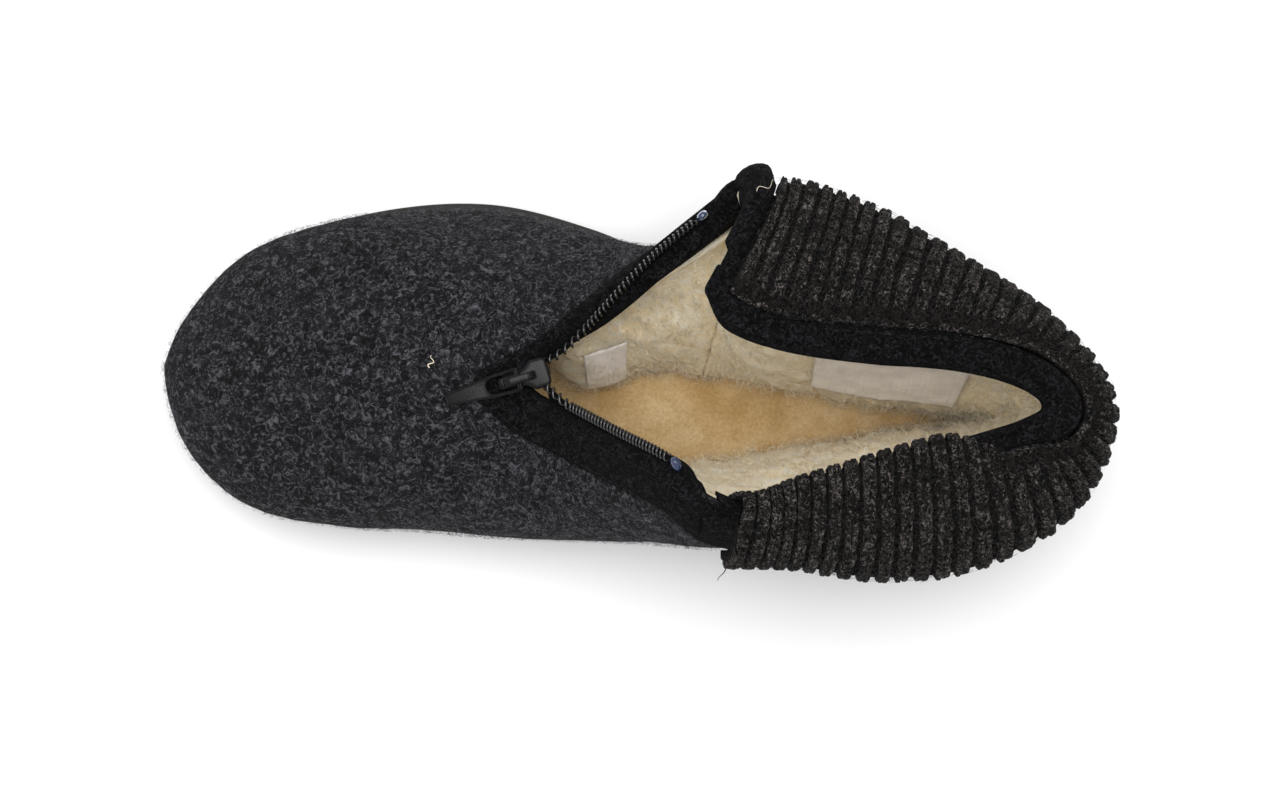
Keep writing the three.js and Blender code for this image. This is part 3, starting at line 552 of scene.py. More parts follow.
collar_rows = [section_of(row) for row in COLLAR_SIDE]
collar = Felt(collar_rows)
toe_row = collar_rows[-1]
vamp = Felt([lower_part(collar_rows[0], APEX_SHARE), *[section_of(row) for row in VAMP_SIDE], (0.5, *toe_row[1:])])

# Charcoal wool felt: dyed and undyed fibres blended, so it is mottled, with loose paler hairs on top
felt = Finish("charcoal wool felt", Roughness=0.96, IOR=1.5, Specular_IOR_Level=0.03, Sheen_Weight=0.03,
              Sheen_Roughness=0.6)
cloud = felt.noise(9, detail=4, distortion=0.8)
curd = felt.noise(2.1, detail=6, roughness=0.72, distortion=1.5)
fibre = felt.noise(0.9, detail=5, roughness=0.75, distortion=2.2)
mottle = felt.mixed(0.3, felt.ramp(curd, (0.40, "0e0e0f"), (0.47, "1f1f21"), (0.53, "3d3d40"), (0.61, "86868c")),
                    felt.ramp(cloud, (0.36, "151516"), (0.52, "242426"), (0.68, "3c3c40")), "MIX")
felt.paint(felt.mixed(0.75, mottle, felt.ramp(fibre, (0.38, "3c3c40"), (0.5, "a0a0a6"), (0.6, "ffffff"))))
felt.bump(fibre, 0.5, 0.9, felt.bump(curd, 1.3, 0.8))

UPPER_ROWS = 22
collar_turns = np.linspace(-0.5, COLLAR_FRONT, 301)
vamp_turns = np.linspace(COLLAR_FRONT, 0.5, 131)
DENT = 0.35


def felt_grid(surface, turns, rows):
    """Outer and inner faces as (columns, rows, 3), softly uneven as hand-blocked felt is."""
    turn, t = np.meshgrid(turns, np.linspace(0, 1, rows + 1), indexing="ij")
    place = surface.at(turn, t)
    quiet = smooth_step(0, 0.12, t) * (1 - smooth_step(0.9, 1, t))
    uneven = quiet * (DENT * lumps(place, 26, 11) + 0.12 * lumps(place, 5, 12))
    outer = surface.out(turn, t, np.minimum(uneven, 0.3))
    inner = surface.out(turn, t, -FELT_WALL + 0.2)
    outer[:, 0, 2] = place[:, 0, 2]
    inner[:, 0, 2] = place[:, 0, 2]
    return outer, inner


def felt_upper():
    """The collar's grid and the vamp's, joined up to the apex at the collar's front and at the toe."""
    points, faces = [], []

    def block(grid):
        start = sum(len(p) for p in points)
        points.append(grid.reshape(-1, 3))
        return start + np.arange(grid.shape[0] * grid.shape[1]).reshape(grid.shape[:2])

    high, low = UPPER_ROWS * 2, UPPER_ROWS
    collar_outer, collar_inner = (block(g) for g in felt_grid(collar, collar_turns, high))
    vamp_outer, vamp_inner = felt_grid(vamp, vamp_turns[1:-1], low)
    vamp_outer, vamp_inner = block(vamp_outer), block(vamp_inner)
    vamp_outer = np.vstack([collar_outer[-1:, :low + 1], vamp_outer])
    vamp_inner = np.vstack([collar_inner[-1:, :low + 1], vamp_inner])

    def strips(outer, inner):
        for grid, flip in ((outer, False), (inner, True)):
            corners = [grid[:-1, :-1], grid[1:, :-1], grid[1:, 1:], grid[:-1, 1:]]
            quads = np.stack(corners, axis=-1).reshape(-1, 4)
            faces.extend(map(tuple, (quads[:, ::-1] if flip else quads).tolist()))
        for row, flip in ((0, True), (-1, False)):
            rim = np.stack([outer[:-1, row], outer[1:, row], inner[1:, row], inner[:-1, row]], axis=-1)
            faces.extend(map(tuple, (rim[:, ::-1] if flip else rim).tolist()))

    strips(collar_outer, collar_inner)
    strips(vamp_outer, vamp_inner)
    for side, flip in (((vamp_outer[-1], collar_outer[0]), False), ((vamp_inner[-1], collar_inner[0]), True)):
        mine, toe = side
        for j in range(low):
            for face in ((mine[j], toe[2 * j], toe[2 * j + 1]), (mine[j], toe[2 * j + 1], mine[j + 1]),
                         (mine[j + 1], toe[2 * j + 1], toe[2 * j + 2])):
                faces.append(tuple(int(v) for v in (face[::-1] if flip else face)))
    rims = [(vamp_outer[-1][0], vamp_inner[-1][0], collar_inner[0][0], collar_outer[0][0]),
            (vamp_outer[-1][low], collar_outer[0][high], collar_inner[0][high], vamp_inner[-1][low])]
    face, lining_face = collar_outer[-1], collar_inner[-1]
    rims += [(lining_face[j], lining_face[j + 1], face[j + 1], face[j]) for j in range(low, high)]
    faces.extend(tuple(int(v) for v in rim) for rim in rims)
    return np.concatenate(points), faces


upper_points, upper_faces = felt_upper()
add_piece("felt_upper", upper_points, upper_faces, felt, stands_for=["upper"], finish_slot="vamp felt")

# Lining: cream lambswool pile on a knitted back, glued inside the felt from the footbed up to the
# bindings. The pile stands in soft locks that roll inwards under the mouth's edge.
LINING_TURNS_COLLAR = 340
LINING_TURNS_VAMP = 150
LINING_ROWS = 40
LINING_BACK = -FELT_WALL - 0.9

lambswool = Finish("cream lambswool pile", Roughness=0.9, IOR=1.5, Sheen_Weight=0.25, Sheen_Roughness=0.45,
                   Specular_IOR_Level=0.2)
lock = lambswool.noise(5.5, detail=4, distortion=1.2)
crimp = lambswool.noise(1.0, detail=5, roughness=0.7, distortion=2.0)
lambswool.paint(lambswool.mixed(
    0.6, lambswool.ramp(lock, (0.30, "f7e3b8"), (0.48, "fef0d0"), (0.66, "fffaea")),
    lambswool.ramp(crimp, (0.32, "ecdabb"), (0.54, "ffffff"))))
lambswool.bump(crimp, 0.6, 0.9, lambswool.bump(lock, 1.1, 0.6))

# Where the pile meets the footbed, as turn, x and y. On the outer side it rolls far in over the footbed.
LINING_FOOT = [
    (-0.39, -136, -19), (-0.35, -124, -21), (-0.31, -113, -22), (-0.27, -101, -24), (-0.235, -88, -23.5),
    (-0.215, -79.5, -22.5), (-0.19, -66, -21.5), (-0.16, -51, -19), (-0.12, -30, -14.5), (-0.08, -9, -12),
    (-0.04, 3, -10.5), (0, 7, -9), (0.04, 3, -7.5), (0.08, -9, -6.5), (0.12, -32, -3.5), (0.16, -54, 1),
    (0.205, -76, 5), (0.23, -84, 6.5), (0.27, -94, 6), (0.31, -105, 3), (0.35, -116, 2), (0.39, -128, 8),
]
foot_row = along_rows([f[0] for f in LINING_FOOT], [[f[1], f[2], 0] for f in LINING_FOOT])
PILE_TOP = 2.2
PILE_DEPTH = 4.6
PILE_LOW = 0.13
FOOT_END = 0.39


def pile(surface, turn, share, top_down, clear=0.0, rough=1.0):
    """Front of the pile: share 0 on the footbed and 1 at its top edge, top_down below the felt's edge."""
    top_share = surface.share(turn, top_down)
    by_seam = 1 - smooth_step(0, 0.04, np.abs(turn - COLLAR_FRONT))
    top = surface.out(turn, top_share, LINING_BACK - PILE_TOP) + seam_shift[surface is vamp] * by_seam[..., None]
    depth = PILE_DEPTH * np.minimum(smooth_step(-0.02, 0.12, 1 - share) + 0.45, 1)
    wall = surface.out(turn, PILE_LOW + (top_share - PILE_LOW) * share, LINING_BACK - depth - clear)
    foot = foot_row(np.clip(turn, -FOOT_END, FOOT_END))
    foot[..., 2] = sole_top(foot[..., 0]) + INSOLE_THICKNESS - 0.2
    rise = (top[..., 2] - foot[..., 2])[..., None]
    s = share[..., None]
    curtain = (foot * (1 - s) ** 3 + (foot + UP * 0.5 * rise) * 3 * (1 - s) ** 2 * s
               + (top - UP * 0.3 * rise) * 3 * (1 - s) * s ** 2 + top * s ** 3)
    hung = (smooth_step(-FOOT_END, -0.27, turn) * (1 - smooth_step(0.34, FOOT_END, turn)))[..., None]
    place = wall * (1 - hung) + curtain * hung
    locks = 0.9 * lumps(place, 11, 21) + 0.45 * lumps(place, 4.5, 22) + 0.35 * lumps(place, 2, 23)
    relief = rough * smooth_step(0, 0.1, 1 - share) * locks + clear
    place = place - outward(turn) * relief[..., None]
    place[..., 2] = np.maximum(place[..., 2], sole_top(place[..., 0]) + INSOLE_THICKNESS - 0.5)
    return place


def lining_half(name, surface, turns, edge_down):
    """Closed sheet of pile over one of the upper's surfaces, from the footbed to below the bindings."""
    turn, share = np.meshgrid(turns, np.linspace(0, 1, LINING_ROWS + 1), indexing="ij")
    front = pile(surface, turn, share, edge_down(turn))
    top_share = surface.share(turns, edge_down(turns))[:, None]
    back = surface.out(turn, 0.1 + (top_share - 0.1) * share, LINING_BACK)
    add_tube(name, np.concatenate([front, back[:, ::-1]], axis=1), lambswool)


def collar_top_down(turn):
    """The pile's top edge lies under the binding, and under the facing beside the zip."""
    return 4.0 + 4.0 * smooth_step(-0.19, -0.25, turn) + 18.0 * smooth_step(0.186, 0.212, turn)


def vamp_top_down(turn):
    return 8.0 + 8.0 * (1 - smooth_step(COLLAR_FRONT, COLLAR_FRONT + 0.03, turn))


# Both halves are drawn to one line where they meet, so the pile runs on across the seam
front_turn = np.array([COLLAR_FRONT])
seam_tops = [
    surface.out(front_turn, surface.share(front_turn, top_down(front_turn)), LINING_BACK - PILE_TOP)[0]
    for surface, top_down in ((collar, collar_top_down), (vamp, vamp_top_down))
]
seam_shift = tuple((seam_tops[0] + seam_tops[1]) / 2 - top for top in seam_tops)

collar_lining_turns = np.linspace(COLLAR_FRONT - 0.001, -0.5, LINING_TURNS_COLLAR)
lining_half("lambswool_lining_collar", collar, collar_lining_turns, collar_top_down)
lining_half("lambswool_lining_vamp", vamp, np.linspace(0.5, COLLAR_FRONT, LINING_TURNS_VAMP), vamp_top_down)


def strands(roots, normals, lengths, radius, lift, curl, rng, steps=3):
    """Closed three-sided hairs that leave a surface, lie over in their own directions and curl."""
    count = len(roots)
    side = rng.normal(size=(count, 3))
    side = unit(side - normals * np.sum(side * normals, axis=1, keepdims=True))
    across = np.cross(normals, side)
    turn = rng.uniform(-1, 1, size=count)[:, None] * curl
    rings = []
    for s in np.linspace(0, 1, steps):
        run = lengths[:, None] * s
        centre = (roots + side * run * np.cos(turn * s) + across * run * np.sin(turn * s)
                  + normals * (lift[:, None] * np.sin(s * math.pi * 0.75) - 0.15 * (1 - s)))
        size = radius * (1 - 0.72 * s ** 2)
        for corner in range(3):
            angle = corner * 2 * math.pi / 3
            rings.append(centre + (across * math.cos(angle) + normals * math.sin(angle)) * size)
    points = np.stack(rings, axis=1)
    first = np.arange(count)[:, None, None] * steps * 3
    pattern = []
    for k in range(steps - 1):
        for corner in range(3):
            a, b = k * 3 + corner, k * 3 + (corner + 1) % 3
            pattern += [(a, b, b + 3), (a, b + 3, a + 3)]
    pattern += [(2, 1, 0), ((steps - 1) * 3, (steps - 1) * 3 + 1, (steps - 1) * 3 + 2)]
    return points.reshape(-1, 3), (first + np.array(pattern)[None]).reshape(-1, 3)


def joined(parts):
    """Points and faces of several meshes as one."""
    starts = np.cumsum([0] + [len(points) for points, faces in parts[:-1]])
    return (np.concatenate([points for points, faces in parts]),
            np.concatenate([faces + start for (points, faces), start in zip(parts, starts)]))


# Curled fibres that stand out of the pile, so its edge isn't a hard line
rng = np.random.default_rng(31)
parts = []
for surface, low, high, count, top_down in ((collar, -0.36, COLLAR_FRONT - 0.001, 9200, collar_top_down),
                                            (vamp, COLLAR_FRONT, 0.4, 3600, vamp_top_down)):
    turn = np.round(rng.uniform(low, high, count), 3)
    share = rng.uniform(0.0, 1, count) ** 1.5 * 0.97
    roots = pile(surface, turn, share, top_down(turn))
    facing_in = -outward(turn) * 0.8 + UP * 0.6
    lengths, lift = rng.uniform(1.6, 5.2, count), rng.uniform(0.8, 2.6, count)
    parts.append(strands(roots, facing_in, lengths, 0.06, lift, 2.6, rng))
wool_fibre = Finish("loose lambswool fibre", Base_Color=srgb("fbf0d6"), Roughness=0.7, IOR=1.5, Sheen_Weight=0.3)
add_piece("lambswool_curls", *joined(parts), wool_fibre)

# Throat facing: a strip of black felt folded over the raw edge of the zip opening and sewn flat
# on both faces. It is broad at the bottom of the zip and on the inner side of the foot.
MEDIAL_TOP = -0.212
FLAP_START = 0.213
FELT_GAP = 0.7
FACING_FELT = 1.6
FACING_INSIDE = 11
# turn from the inner side's top, where 0.5 is the bottom of the zip, and the width outside
FACING = [(0.212, 19), (0.225, 15.7), (0.25, 13.4), (0.30, 11), (0.36, 10.4), (0.44, 11.2), (0.50, 13.2),
          (0.53, 8.5), (0.56, 5.8), (0.60, 4.2), (0.67, 3.7), (0.72, 6), (0.745, 8), (0.79, 9)]
facing_row = along_rows([f[0] for f in FACING], [[f[1]] for f in FACING])


def facing_width(turn):
    return facing_row(np.where(turn < 0, -turn, 1 - turn))[..., 0]


def clasp_loop(width, inside, felt_thickness, gap=FELT_GAP):
    """Section of a strip folded over an edge, as (down, out) places: outside, round the edge, inside and back."""
    back = -FELT_WALL - gap
    middle = (gap + back) / 2
    half = gap - middle
    fold = np.linspace(0, math.pi, 9)[1:-1]
    outside_steps, inside_steps = np.linspace(0, 1, 9), np.linspace(0, 1, 5)
    thin_outside = 1 - 0.5 * np.maximum(0, 1 - outside_steps * 6) ** 2
    thin_inside = 1 - 0.5 * np.maximum(0, (inside_steps - 5 / 6) * 6) ** 2
    flat = np.ones(5)
    sides = [
        (width - outside_steps * width, gap + felt_thickness * thin_outside),
        (-(gap + felt_thickness) * np.sin(fold), middle + (half + felt_thickness) * np.cos(fold)),
        (inside_steps * inside, back - felt_thickness * thin_inside),
        (inside - inside_steps * inside, back * flat),
        (-gap * np.sin(fold), middle - half * np.cos(fold)),
        (outside_steps * width, np.full(9, gap)),
    ]
    return np.concatenate([np.stack(side, axis=1) for side in sides])


def folded_strip(name, stations, width, inside, thickness, **claims):
    """A black felt strip folded over the edge along a list of (surface, turns)."""
    loops = []
    for surface, turns in stations:
        sections = np.stack([clasp_loop(w, inside, thickness) for w in width(turns)])
        loops.append(surface.by_edge(turns[:, None], sections[..., 0], sections[..., 1]))
    loops = np.concatenate(loops)
    uneven = (0.12 * lumps(loops, 7, 41) + 0.05 * lumps(loops, 2, 42))[..., None]
    add_tube(name, loops + uneven * np.array([0.3, 0.3, 1.0]) * 0.8, black_felt, **claims)


# Black wool felt: denser and shorter than the upper's, nearly black, with a little grey lint
black_felt = Finish("black wool felt", Roughness=0.97, IOR=1.5, Specular_IOR_Level=0.02, Sheen_Weight=0.01,
                    Sheen_Roughness=0.6)
nap = black_felt.noise(1.7, detail=6, roughness=0.8, distortion=1.6)
black_felt.paint(black_felt.mixed(
    0.5, black_felt.ramp(nap, (0.38, "050506"), (0.5, "0d0d0e"), (0.62, "2b2b2e")),
    black_felt.ramp(black_felt.noise(8, detail=3), (0.35, "b4b4b8"), (0.65, "ffffff"))))
black_felt.bump(nap, 0.7)

facing_stations = [(collar, np.linspace(MEDIAL_TOP, -0.5, 190)), (vamp, np.linspace(0.4985, FLAP_START, 170))]
folded_strip("throat_facing_felt", facing_stations, facing_width, FACING_INSIDE, FACING_FELT,
             stands_for=["throat_facing"], finish_slot="facing and binding felt")


def around(line, first, second, size, sides):
    """Rings about the places of a line, from two directions across it and a radius."""
    angles = (np.arange(sides) * 2 * math.pi / sides)[:, None]
    wheel = first[..., None, :] * np.cos(angles) + second[..., None, :] * np.sin(angles)
    return line[..., None, :] + wheel * np.asarray(size)[..., None, None]


def sewn_row(name, places, normals, pitch=3.0, length=2.1, radius=0.21, sink=0.2):
    """A row of lockstitches: short closed grains of thread that lie along a line and dip at their ends."""
    steps = run_of(places)
    bow = np.sin(np.linspace(0, math.pi, 6))
    points, faces = [], []
    for start in np.arange(pitch / 2, steps[-1] - pitch / 2, pitch):
        line = np.linspace(start - length / 2, start + length / 2, 6)
        centre, up = (np.stack([np.interp(line, steps, table[:, k]) for k in range(3)], axis=1)
                      for table in (places, normals))
        up = unit(up)
        across = np.cross(up, unit(centre[-1] - centre[0]))
        centre = centre + up * (radius * (1.5 * bow - 0.7) - sink)[:, None]
        faces += tube_faces(6, 6, start=36 * len(points))
        points.append(around(centre, across, up, radius * (0.45 + 0.55 * bow), 6).reshape(-1, 3))
    add_piece(name, np.concatenate(points), faces, thread)


# Black polyester sewing thread, twisted: a slight gloss that lifts it off the felt
thread = Finish("black polyester thread", Base_Color=srgb("0e0e10"), Roughness=0.6, IOR=1.5,
                Specular_IOR_Level=0.2)


def line_on_strip(stations, inset, width, felt_top):
    """Places and normals of a sewing line along a strip, at an inset from the strip's free edge."""
    places, normals = [], []
    for surface, turns in stations:
        share = surface.share(turns, width(turns) - inset)
        places.append(surface.out(turns, share, felt_top))
        normals.append(surface.normal(turns, share))
    return np.concatenate(places), np.concatenate(normals)


facing_top = FELT_GAP + FACING_FELT
sewn_row("facing_edge_stitches", *line_on_strip(facing_stations, 1.6, facing_width, facing_top))
tape_line = line_on_strip(facing_stations, 0, lambda turns: np.full(turns.shape, 1.3), facing_top)
sewn_row("zip_tape_stitches", *tape_line, pitch=2.6, length=1.9, radius=0.18)

# Collar binding: a second black felt strip folded over the mouth's edge, all the way round the
# ankle, and a third down the front edge of the outer side. Both are sewn through the felt.
BINDING_FELT = 1.8
BINDING_INSIDE = 10.5
FLAP_WIDTH = 7.5
FLAP_INSIDE = 8
FLAP_GAP = 1.2
FLAP_CLEAR_SHARE = 0.075
SEAM_GAP = 0.8
CUFF_MEDIAL_FRONT = -0.196
# turn and the width that shows outside
BINDING = [(-0.22, 1.5), (-0.12, 1.7), (-0.08, 2.8), (-0.045, 4.5), (-0.02, 8), (0.02, 8), (0.06, 6.8), (0.12, 7.4),
           (0.16, 6.5), (0.22, 6.5)]
binding_row = along_rows([b[0] for b in BINDING], [[b[1]] for b in BINDING])


def binding_shown(turn):
    return binding_row(turn)[..., 0]


binding_stations = [(collar, np.linspace(COLLAR_FRONT, MEDIAL_TOP + 0.0085, 300))]
folded_strip("collar_binding_felt", binding_stations, binding_shown, BINDING_INSIDE, BINDING_FELT,
             stands_for=["collar_binding"], finish_slot="facing and binding felt")
sewn_stations = [(collar, np.linspace(COLLAR_FRONT - 0.012, -0.055, 300))]
sewn_row("binding_stitches", *line_on_strip(sewn_stations, 1.5, binding_shown, FELT_GAP + BINDING_FELT))

front_walk = COLLAR_FRONT - np.linspace(0, 0.07, 141)


def behind_front(t, behind):
    """Turn of the place that lies a distance behind the collar's front edge, at a share of the height."""
    t, behind = spread(t, behind)
    different, back = np.unique(t.ravel(), return_inverse=True)
    lengths = run_of(collar.at(front_walk[None, :], different[:, None]))
    turns = [np.interp(b, lengths[k], front_walk) for k, b in zip(back.ravel(), behind.ravel())]
    return np.array(turns).reshape(t.shape)


def by_front(t, behind, out):
    """Place at a distance behind the collar's front edge, or ahead of it if minus, and a height over the face."""
    t, behind, out = spread(t, behind, out)
    point = collar.out(behind_front(t, np.maximum(behind, 0)), t, out)
    ahead = unit(collar.at(COLLAR_FRONT, t) - collar.at(COLLAR_FRONT - 0.002, t))
    return point + ahead * np.maximum(-behind, 0)[..., None]


flap_low = APEX_SHARE + FLAP_CLEAR_SHARE
flap_high = float(collar.share(COLLAR_FRONT, BINDING_INSIDE + SEAM_GAP))
flap_shares = np.linspace(flap_low, flap_high, 60)
flap_section = clasp_loop(FLAP_WIDTH, FLAP_INSIDE, BINDING_FELT, FLAP_GAP)
flap_loops = by_front(flap_shares[:, None], flap_section[None, :, 0], flap_section[None, :, 1])
flap_loops += (0.1 * lumps(flap_loops, 7, 43))[..., None]
add_tube("flap_binding_felt", flap_loops, black_felt, stands_for=["flap_binding"],
         finish_slot="facing and binding felt")

# Scraps lie under the strips' ends, where the upper would show between them and the cuff, and behind
# the corner at the zip's end on the inside
SCRAP_THICKNESS = 1.1
SCRAP_INSIDE = -FELT_WALL - 1.7
for name, surface, turns, downs, lie in (
    ("flap_corner_felt", collar, (COLLAR_FRONT - 0.0015, COLLAR_FRONT - 0.034), (3, 20), FELT_GAP),
    ("inner_corner_felt", collar, (CUFF_MEDIAL_FRONT + 0.004, MEDIAL_TOP - 0.003), (0.8, 19.5), FELT_GAP),
    ("flap_backing_felt", collar, (COLLAR_FRONT - 0.0005, COLLAR_FRONT - 0.03), (3, 26), SCRAP_INSIDE),
    ("zip_end_backing_felt", vamp, (COLLAR_FRONT + 0.03, COLLAR_FRONT), (0.5, 17), SCRAP_INSIDE),
):
    turn, down = np.meshgrid(np.linspace(*turns, 16), np.linspace(*downs, 20), indexing="ij")
    top, bottom = (surface.by_edge(turn, down, height) for height in (lie + SCRAP_THICKNESS, lie))
    add_tube(name, np.concatenate([top[:, ::-1], bottom], axis=1), black_felt)

# Where the facing ends against the flap a rolled scrap of the same felt fills the corner
joint_section = clasp_loop(9, FACING_INSIDE, FACING_FELT)[:21] * [1, 0.8]
joint_line = vamp.by_edge(FLAP_START, *joint_section.T)
joint_back = unit(joint_line - vamp.by_edge(FLAP_START + 0.004, *joint_section.T))
joint_line = joint_line + joint_back * 2.0
joint_way = unit(np.gradient(joint_line, axis=0))
joint_side = joint_back - joint_way * np.sum(joint_back * joint_way, axis=1, keepdims=True)
joint_up = np.cross(joint_way, joint_side)
add_tube("apex_joint_felt", around(joint_line, joint_side * 4.2, joint_up * 1.5, 1, 12), black_felt)
flap_line = by_front(flap_shares, 1.6, FLAP_GAP + BINDING_FELT)
sewn_row("flap_stitches", flap_line, collar.normal(behind_front(flap_shares, 1.6), flap_shares))

# Knitted cuff: black wool with a grey melange ply, knitted in a chunky rib and turned down over
# the shaft. Each rib is a column of V stitches, with a purl valley between it and the next.
KNIT_THICKNESS = 4.6
RIB_COUNT = 46
CUFF_DEPTH = 44
ROLL_START, ROLL_END = 0.6, 0.985
STITCH_PITCH = 3.1
STITCH_REACH = 0.3
CUFF_COLUMNS = RIB_COUNT * 4
CUFF_STEPS = 60

# Places and normals of the felt under the cuff, on a grid of share towards the inner side and depth
cuff_back = np.linspace(0, 1, CUFF_COLUMNS + 1)
cuff_down = np.linspace(0, CUFF_DEPTH, CUFF_STEPS + 1)


def cuff_ground():
    back, down = np.meshgrid(cuff_back, cuff_down, indexing="ij")
    turn = COLLAR_FRONT + (CUFF_MEDIAL_FRONT - COLLAR_FRONT) * back
    for _ in range(3):
        share = collar.share(np.round(turn, 4), binding_shown(turn) + SEAM_GAP + down)
        front = behind_front(np.round(share, 3), np.full(share.shape, FLAP_WIDTH + SEAM_GAP))
        turn = front + (CUFF_MEDIAL_FRONT - front) * back
    share = collar.share(np.round(turn, 4), binding_shown(turn) + SEAM_GAP + down)
    return collar.at(turn, share), collar.normal(turn, share)


cuff_places, cuff_normals = cuff_ground()


def on_cuff(back, down, out):
    """Place over the felt under the cuff, between the grid's corners; beyond the ends it runs straight on."""
    back, down, out = spread(back, down, out)
    i = np.clip(np.floor(back * CUFF_COLUMNS).astype(int), 0, CUFF_COLUMNS - 1)
    j = np.clip(np.floor(down / CUFF_DEPTH * CUFF_STEPS).astype(int), 0, CUFF_STEPS - 1)
    u = (back * CUFF_COLUMNS - i)[..., None]
    v = (down / CUFF_DEPTH * CUFF_STEPS - j)[..., None]
    place, normal = (
        grid[i, j] * (1 - u) * (1 - v) + grid[i + 1, j] * u * (1 - v)
        + grid[i, j + 1] * (1 - u) * v + grid[i + 1, j + 1] * u * v
        for grid in (cuff_places, cuff_normals)
    )
    return place + normal * out[..., None]


def rib_wave(back):
    """0 in the valleys between the ribs and 1 along their tops."""
    return 0.5 - 0.5 * np.cos(back * RIB_COUNT * 2 * math.pi)


# Woollen yarn: three black plies and a grey one, so light flecks run along each stitch
yarn = Finish("black and grey melange wool yarn", Roughness=0.92, IOR=1.5, Specular_IOR_Level=0.03,
              Sheen_Weight=0.03, Sheen_Roughness=0.5)
ply = yarn.noise(1.1, detail=4, roughness=0.6, distortion=1.5)
fluff = yarn.noise(0.7, detail=4, roughness=0.7, distortion=1.0)
patch = yarn.ramp(yarn.noise(6, detail=2), (0.3, "eeeeee"), (0.7, "ffffff"))
fleck = yarn.node("ShaderNodeMath", {"operation": "MULTIPLY"}, n0=ply, n1=patch).outputs["Value"]
yarn.paint(yarn.mixed(
    0.6, yarn.ramp(fleck, (0.36, "090909"), (0.45, "191817"), (0.52, "363331"), (0.62, "6f6966")),
    yarn.ramp(fluff, (0.38, "5a5a5a"), (0.6, "ffffff"))))
yarn.bump(fluff, 0.35, 0.9)

# The valleys between the ribs use a darker copy of the yarn, without the grey flecks: painted shade where the shadow
# falls between the ribs
valley_shade_yarn = Finish("darker yarn as painted shade in the valleys", Roughness=0.95, IOR=1.5, Specular_IOR_Level=0.02)
fluff = valley_shade_yarn.noise(0.7, detail=4, roughness=0.7, distortion=1.0)
valley_shade_yarn.paint(valley_shade_yarn.ramp(fluff, (0.4, "070707"), (0.62, "262423")))
valley_shade_yarn.bump(fluff, 0.35, 0.9)

# Ground of the knit: a ribbed sheet that closes the gaps between the stitches, in the darker yarn that paints the
# shade between them
ground_back = np.linspace(0, 1, RIB_COUNT * 6 + 1)[:, None]
ground_down = np.concatenate([[0, 0.6], np.linspace(1.5, CUFF_DEPTH - 1.5, 36), [CUFF_DEPTH - 0.6, CUFF_DEPTH]])[None]
edge_round = np.minimum(np.minimum(ground_down, CUFF_DEPTH - ground_down) / 1.6, 1) ** 0.5
ground_out = FELT_GAP + 0.6 + (KNIT_THICKNESS - 2.6 + 1.7 * rib_wave(ground_back)) * (0.35 + 0.65 * edge_round)
front_face = on_cuff(ground_back, ground_down, ground_out)
back_face = on_cuff(ground_back, ground_down, FELT_GAP + 0.05)
add_tube("cuff_knit_ground", np.concatenate([front_face[:, ::-1], back_face], axis=1), valley_shade_yarn,
         stands_for=["knit_cuff"], finish_slot="cuff knit")


def grain_faces(count, rings, sides):
    """Faces of closed grains of yarn, each of several rings, with its ends closed by quads."""
    pattern = []
    for k in range(rings - 1):
        for c in range(sides):
            a, b = k * sides + c, k * sides + (c + 1) % sides
            pattern.append((a, b, b + sides, a + sides))
    top = (rings - 1) * sides
    for c in range(1, sides // 2):
        pattern.append((c, c - 1, sides - c, sides - c - 1))
        pattern.append((top + c - 1, top + c, top + sides - c - 1, top + sides - c))
    return (np.arange(count)[:, None, None] * rings * sides + np.array(pattern)[None]).reshape(-1, 4)


YARN_SIDES = 6
MM_PER_RIB = 6.4


def yarn_grains(name, starts, ends, bow, radius, rings=6, finish=yarn):
    """Short plump lengths of yarn between (back, down, out) places, each closed and tapered at its ends."""
    share = np.linspace(0, 1, rings)[None, :, None]
    line = starts[:, None] + (ends - starts)[:, None] * share
    line[..., 2] += bow[:, None] * np.sin(share[..., 0] * math.pi)
    size = radius[:, None] * (0.5 + 0.5 * np.sin(share[..., 0] * math.pi))
    way = (ends - starts)[:, None]
    flat = unit(np.stack([way[..., 0] * RIB_COUNT * MM_PER_RIB, way[..., 1]], axis=-1))
    angles = np.arange(YARN_SIDES) * 2 * math.pi / YARN_SIDES
    along, across, high = np.broadcast_arrays(flat[..., :1], flat[..., 1:], np.sin(angles))
    offsets = np.stack([-across * np.cos(angles) / (RIB_COUNT * MM_PER_RIB), along * np.cos(angles), high], axis=-1)
    places = line[:, :, None, :] + offsets * size[:, :, None, None]
    points = on_cuff(places[..., 0], places[..., 1], places[..., 2])
    add_piece(name, points.reshape(-1, 3), grain_faces(len(starts), rings, YARN_SIDES), finish)


def cuff_rows(back, down, out):
    """Places (back, down, out) of many grains, where out may be one number for all."""
    return np.stack(spread(back, down, out), axis=1)


rng = np.random.default_rng(57)
rows = np.arange(1.0, CUFF_DEPTH - 2.2, STITCH_PITCH)
rib, row, leg = (grid.ravel() for grid in np.meshgrid(np.arange(RIB_COUNT), rows, [-1, 1], indexing="ij"))
row = row + 0.35 * np.sin(rib * 1.7)
jitter = rng.normal(size=(3, len(rib)))
middle = (rib + 0.5 + 0.03 * jitter[0]) / RIB_COUNT
width = STITCH_REACH / RIB_COUNT
starts = cuff_rows(middle + leg * width, row - 0.5, KNIT_THICKNESS - 1.3)
ends = cuff_rows(middle + leg * width * 0.16, row + STITCH_PITCH + 0.9, KNIT_THICKNESS - 0.1)
starts = np.clip(starts, [0.002, 0.4, 0], [0.998, CUFF_DEPTH - 0.6, 9])
ends = np.clip(ends, [0.002, 0.4, 0], [0.998, CUFF_DEPTH - 0.5, 9])
edge_low = np.minimum(smooth_step(-1, 3.5, starts[:, 1]) + 0.2, 1)
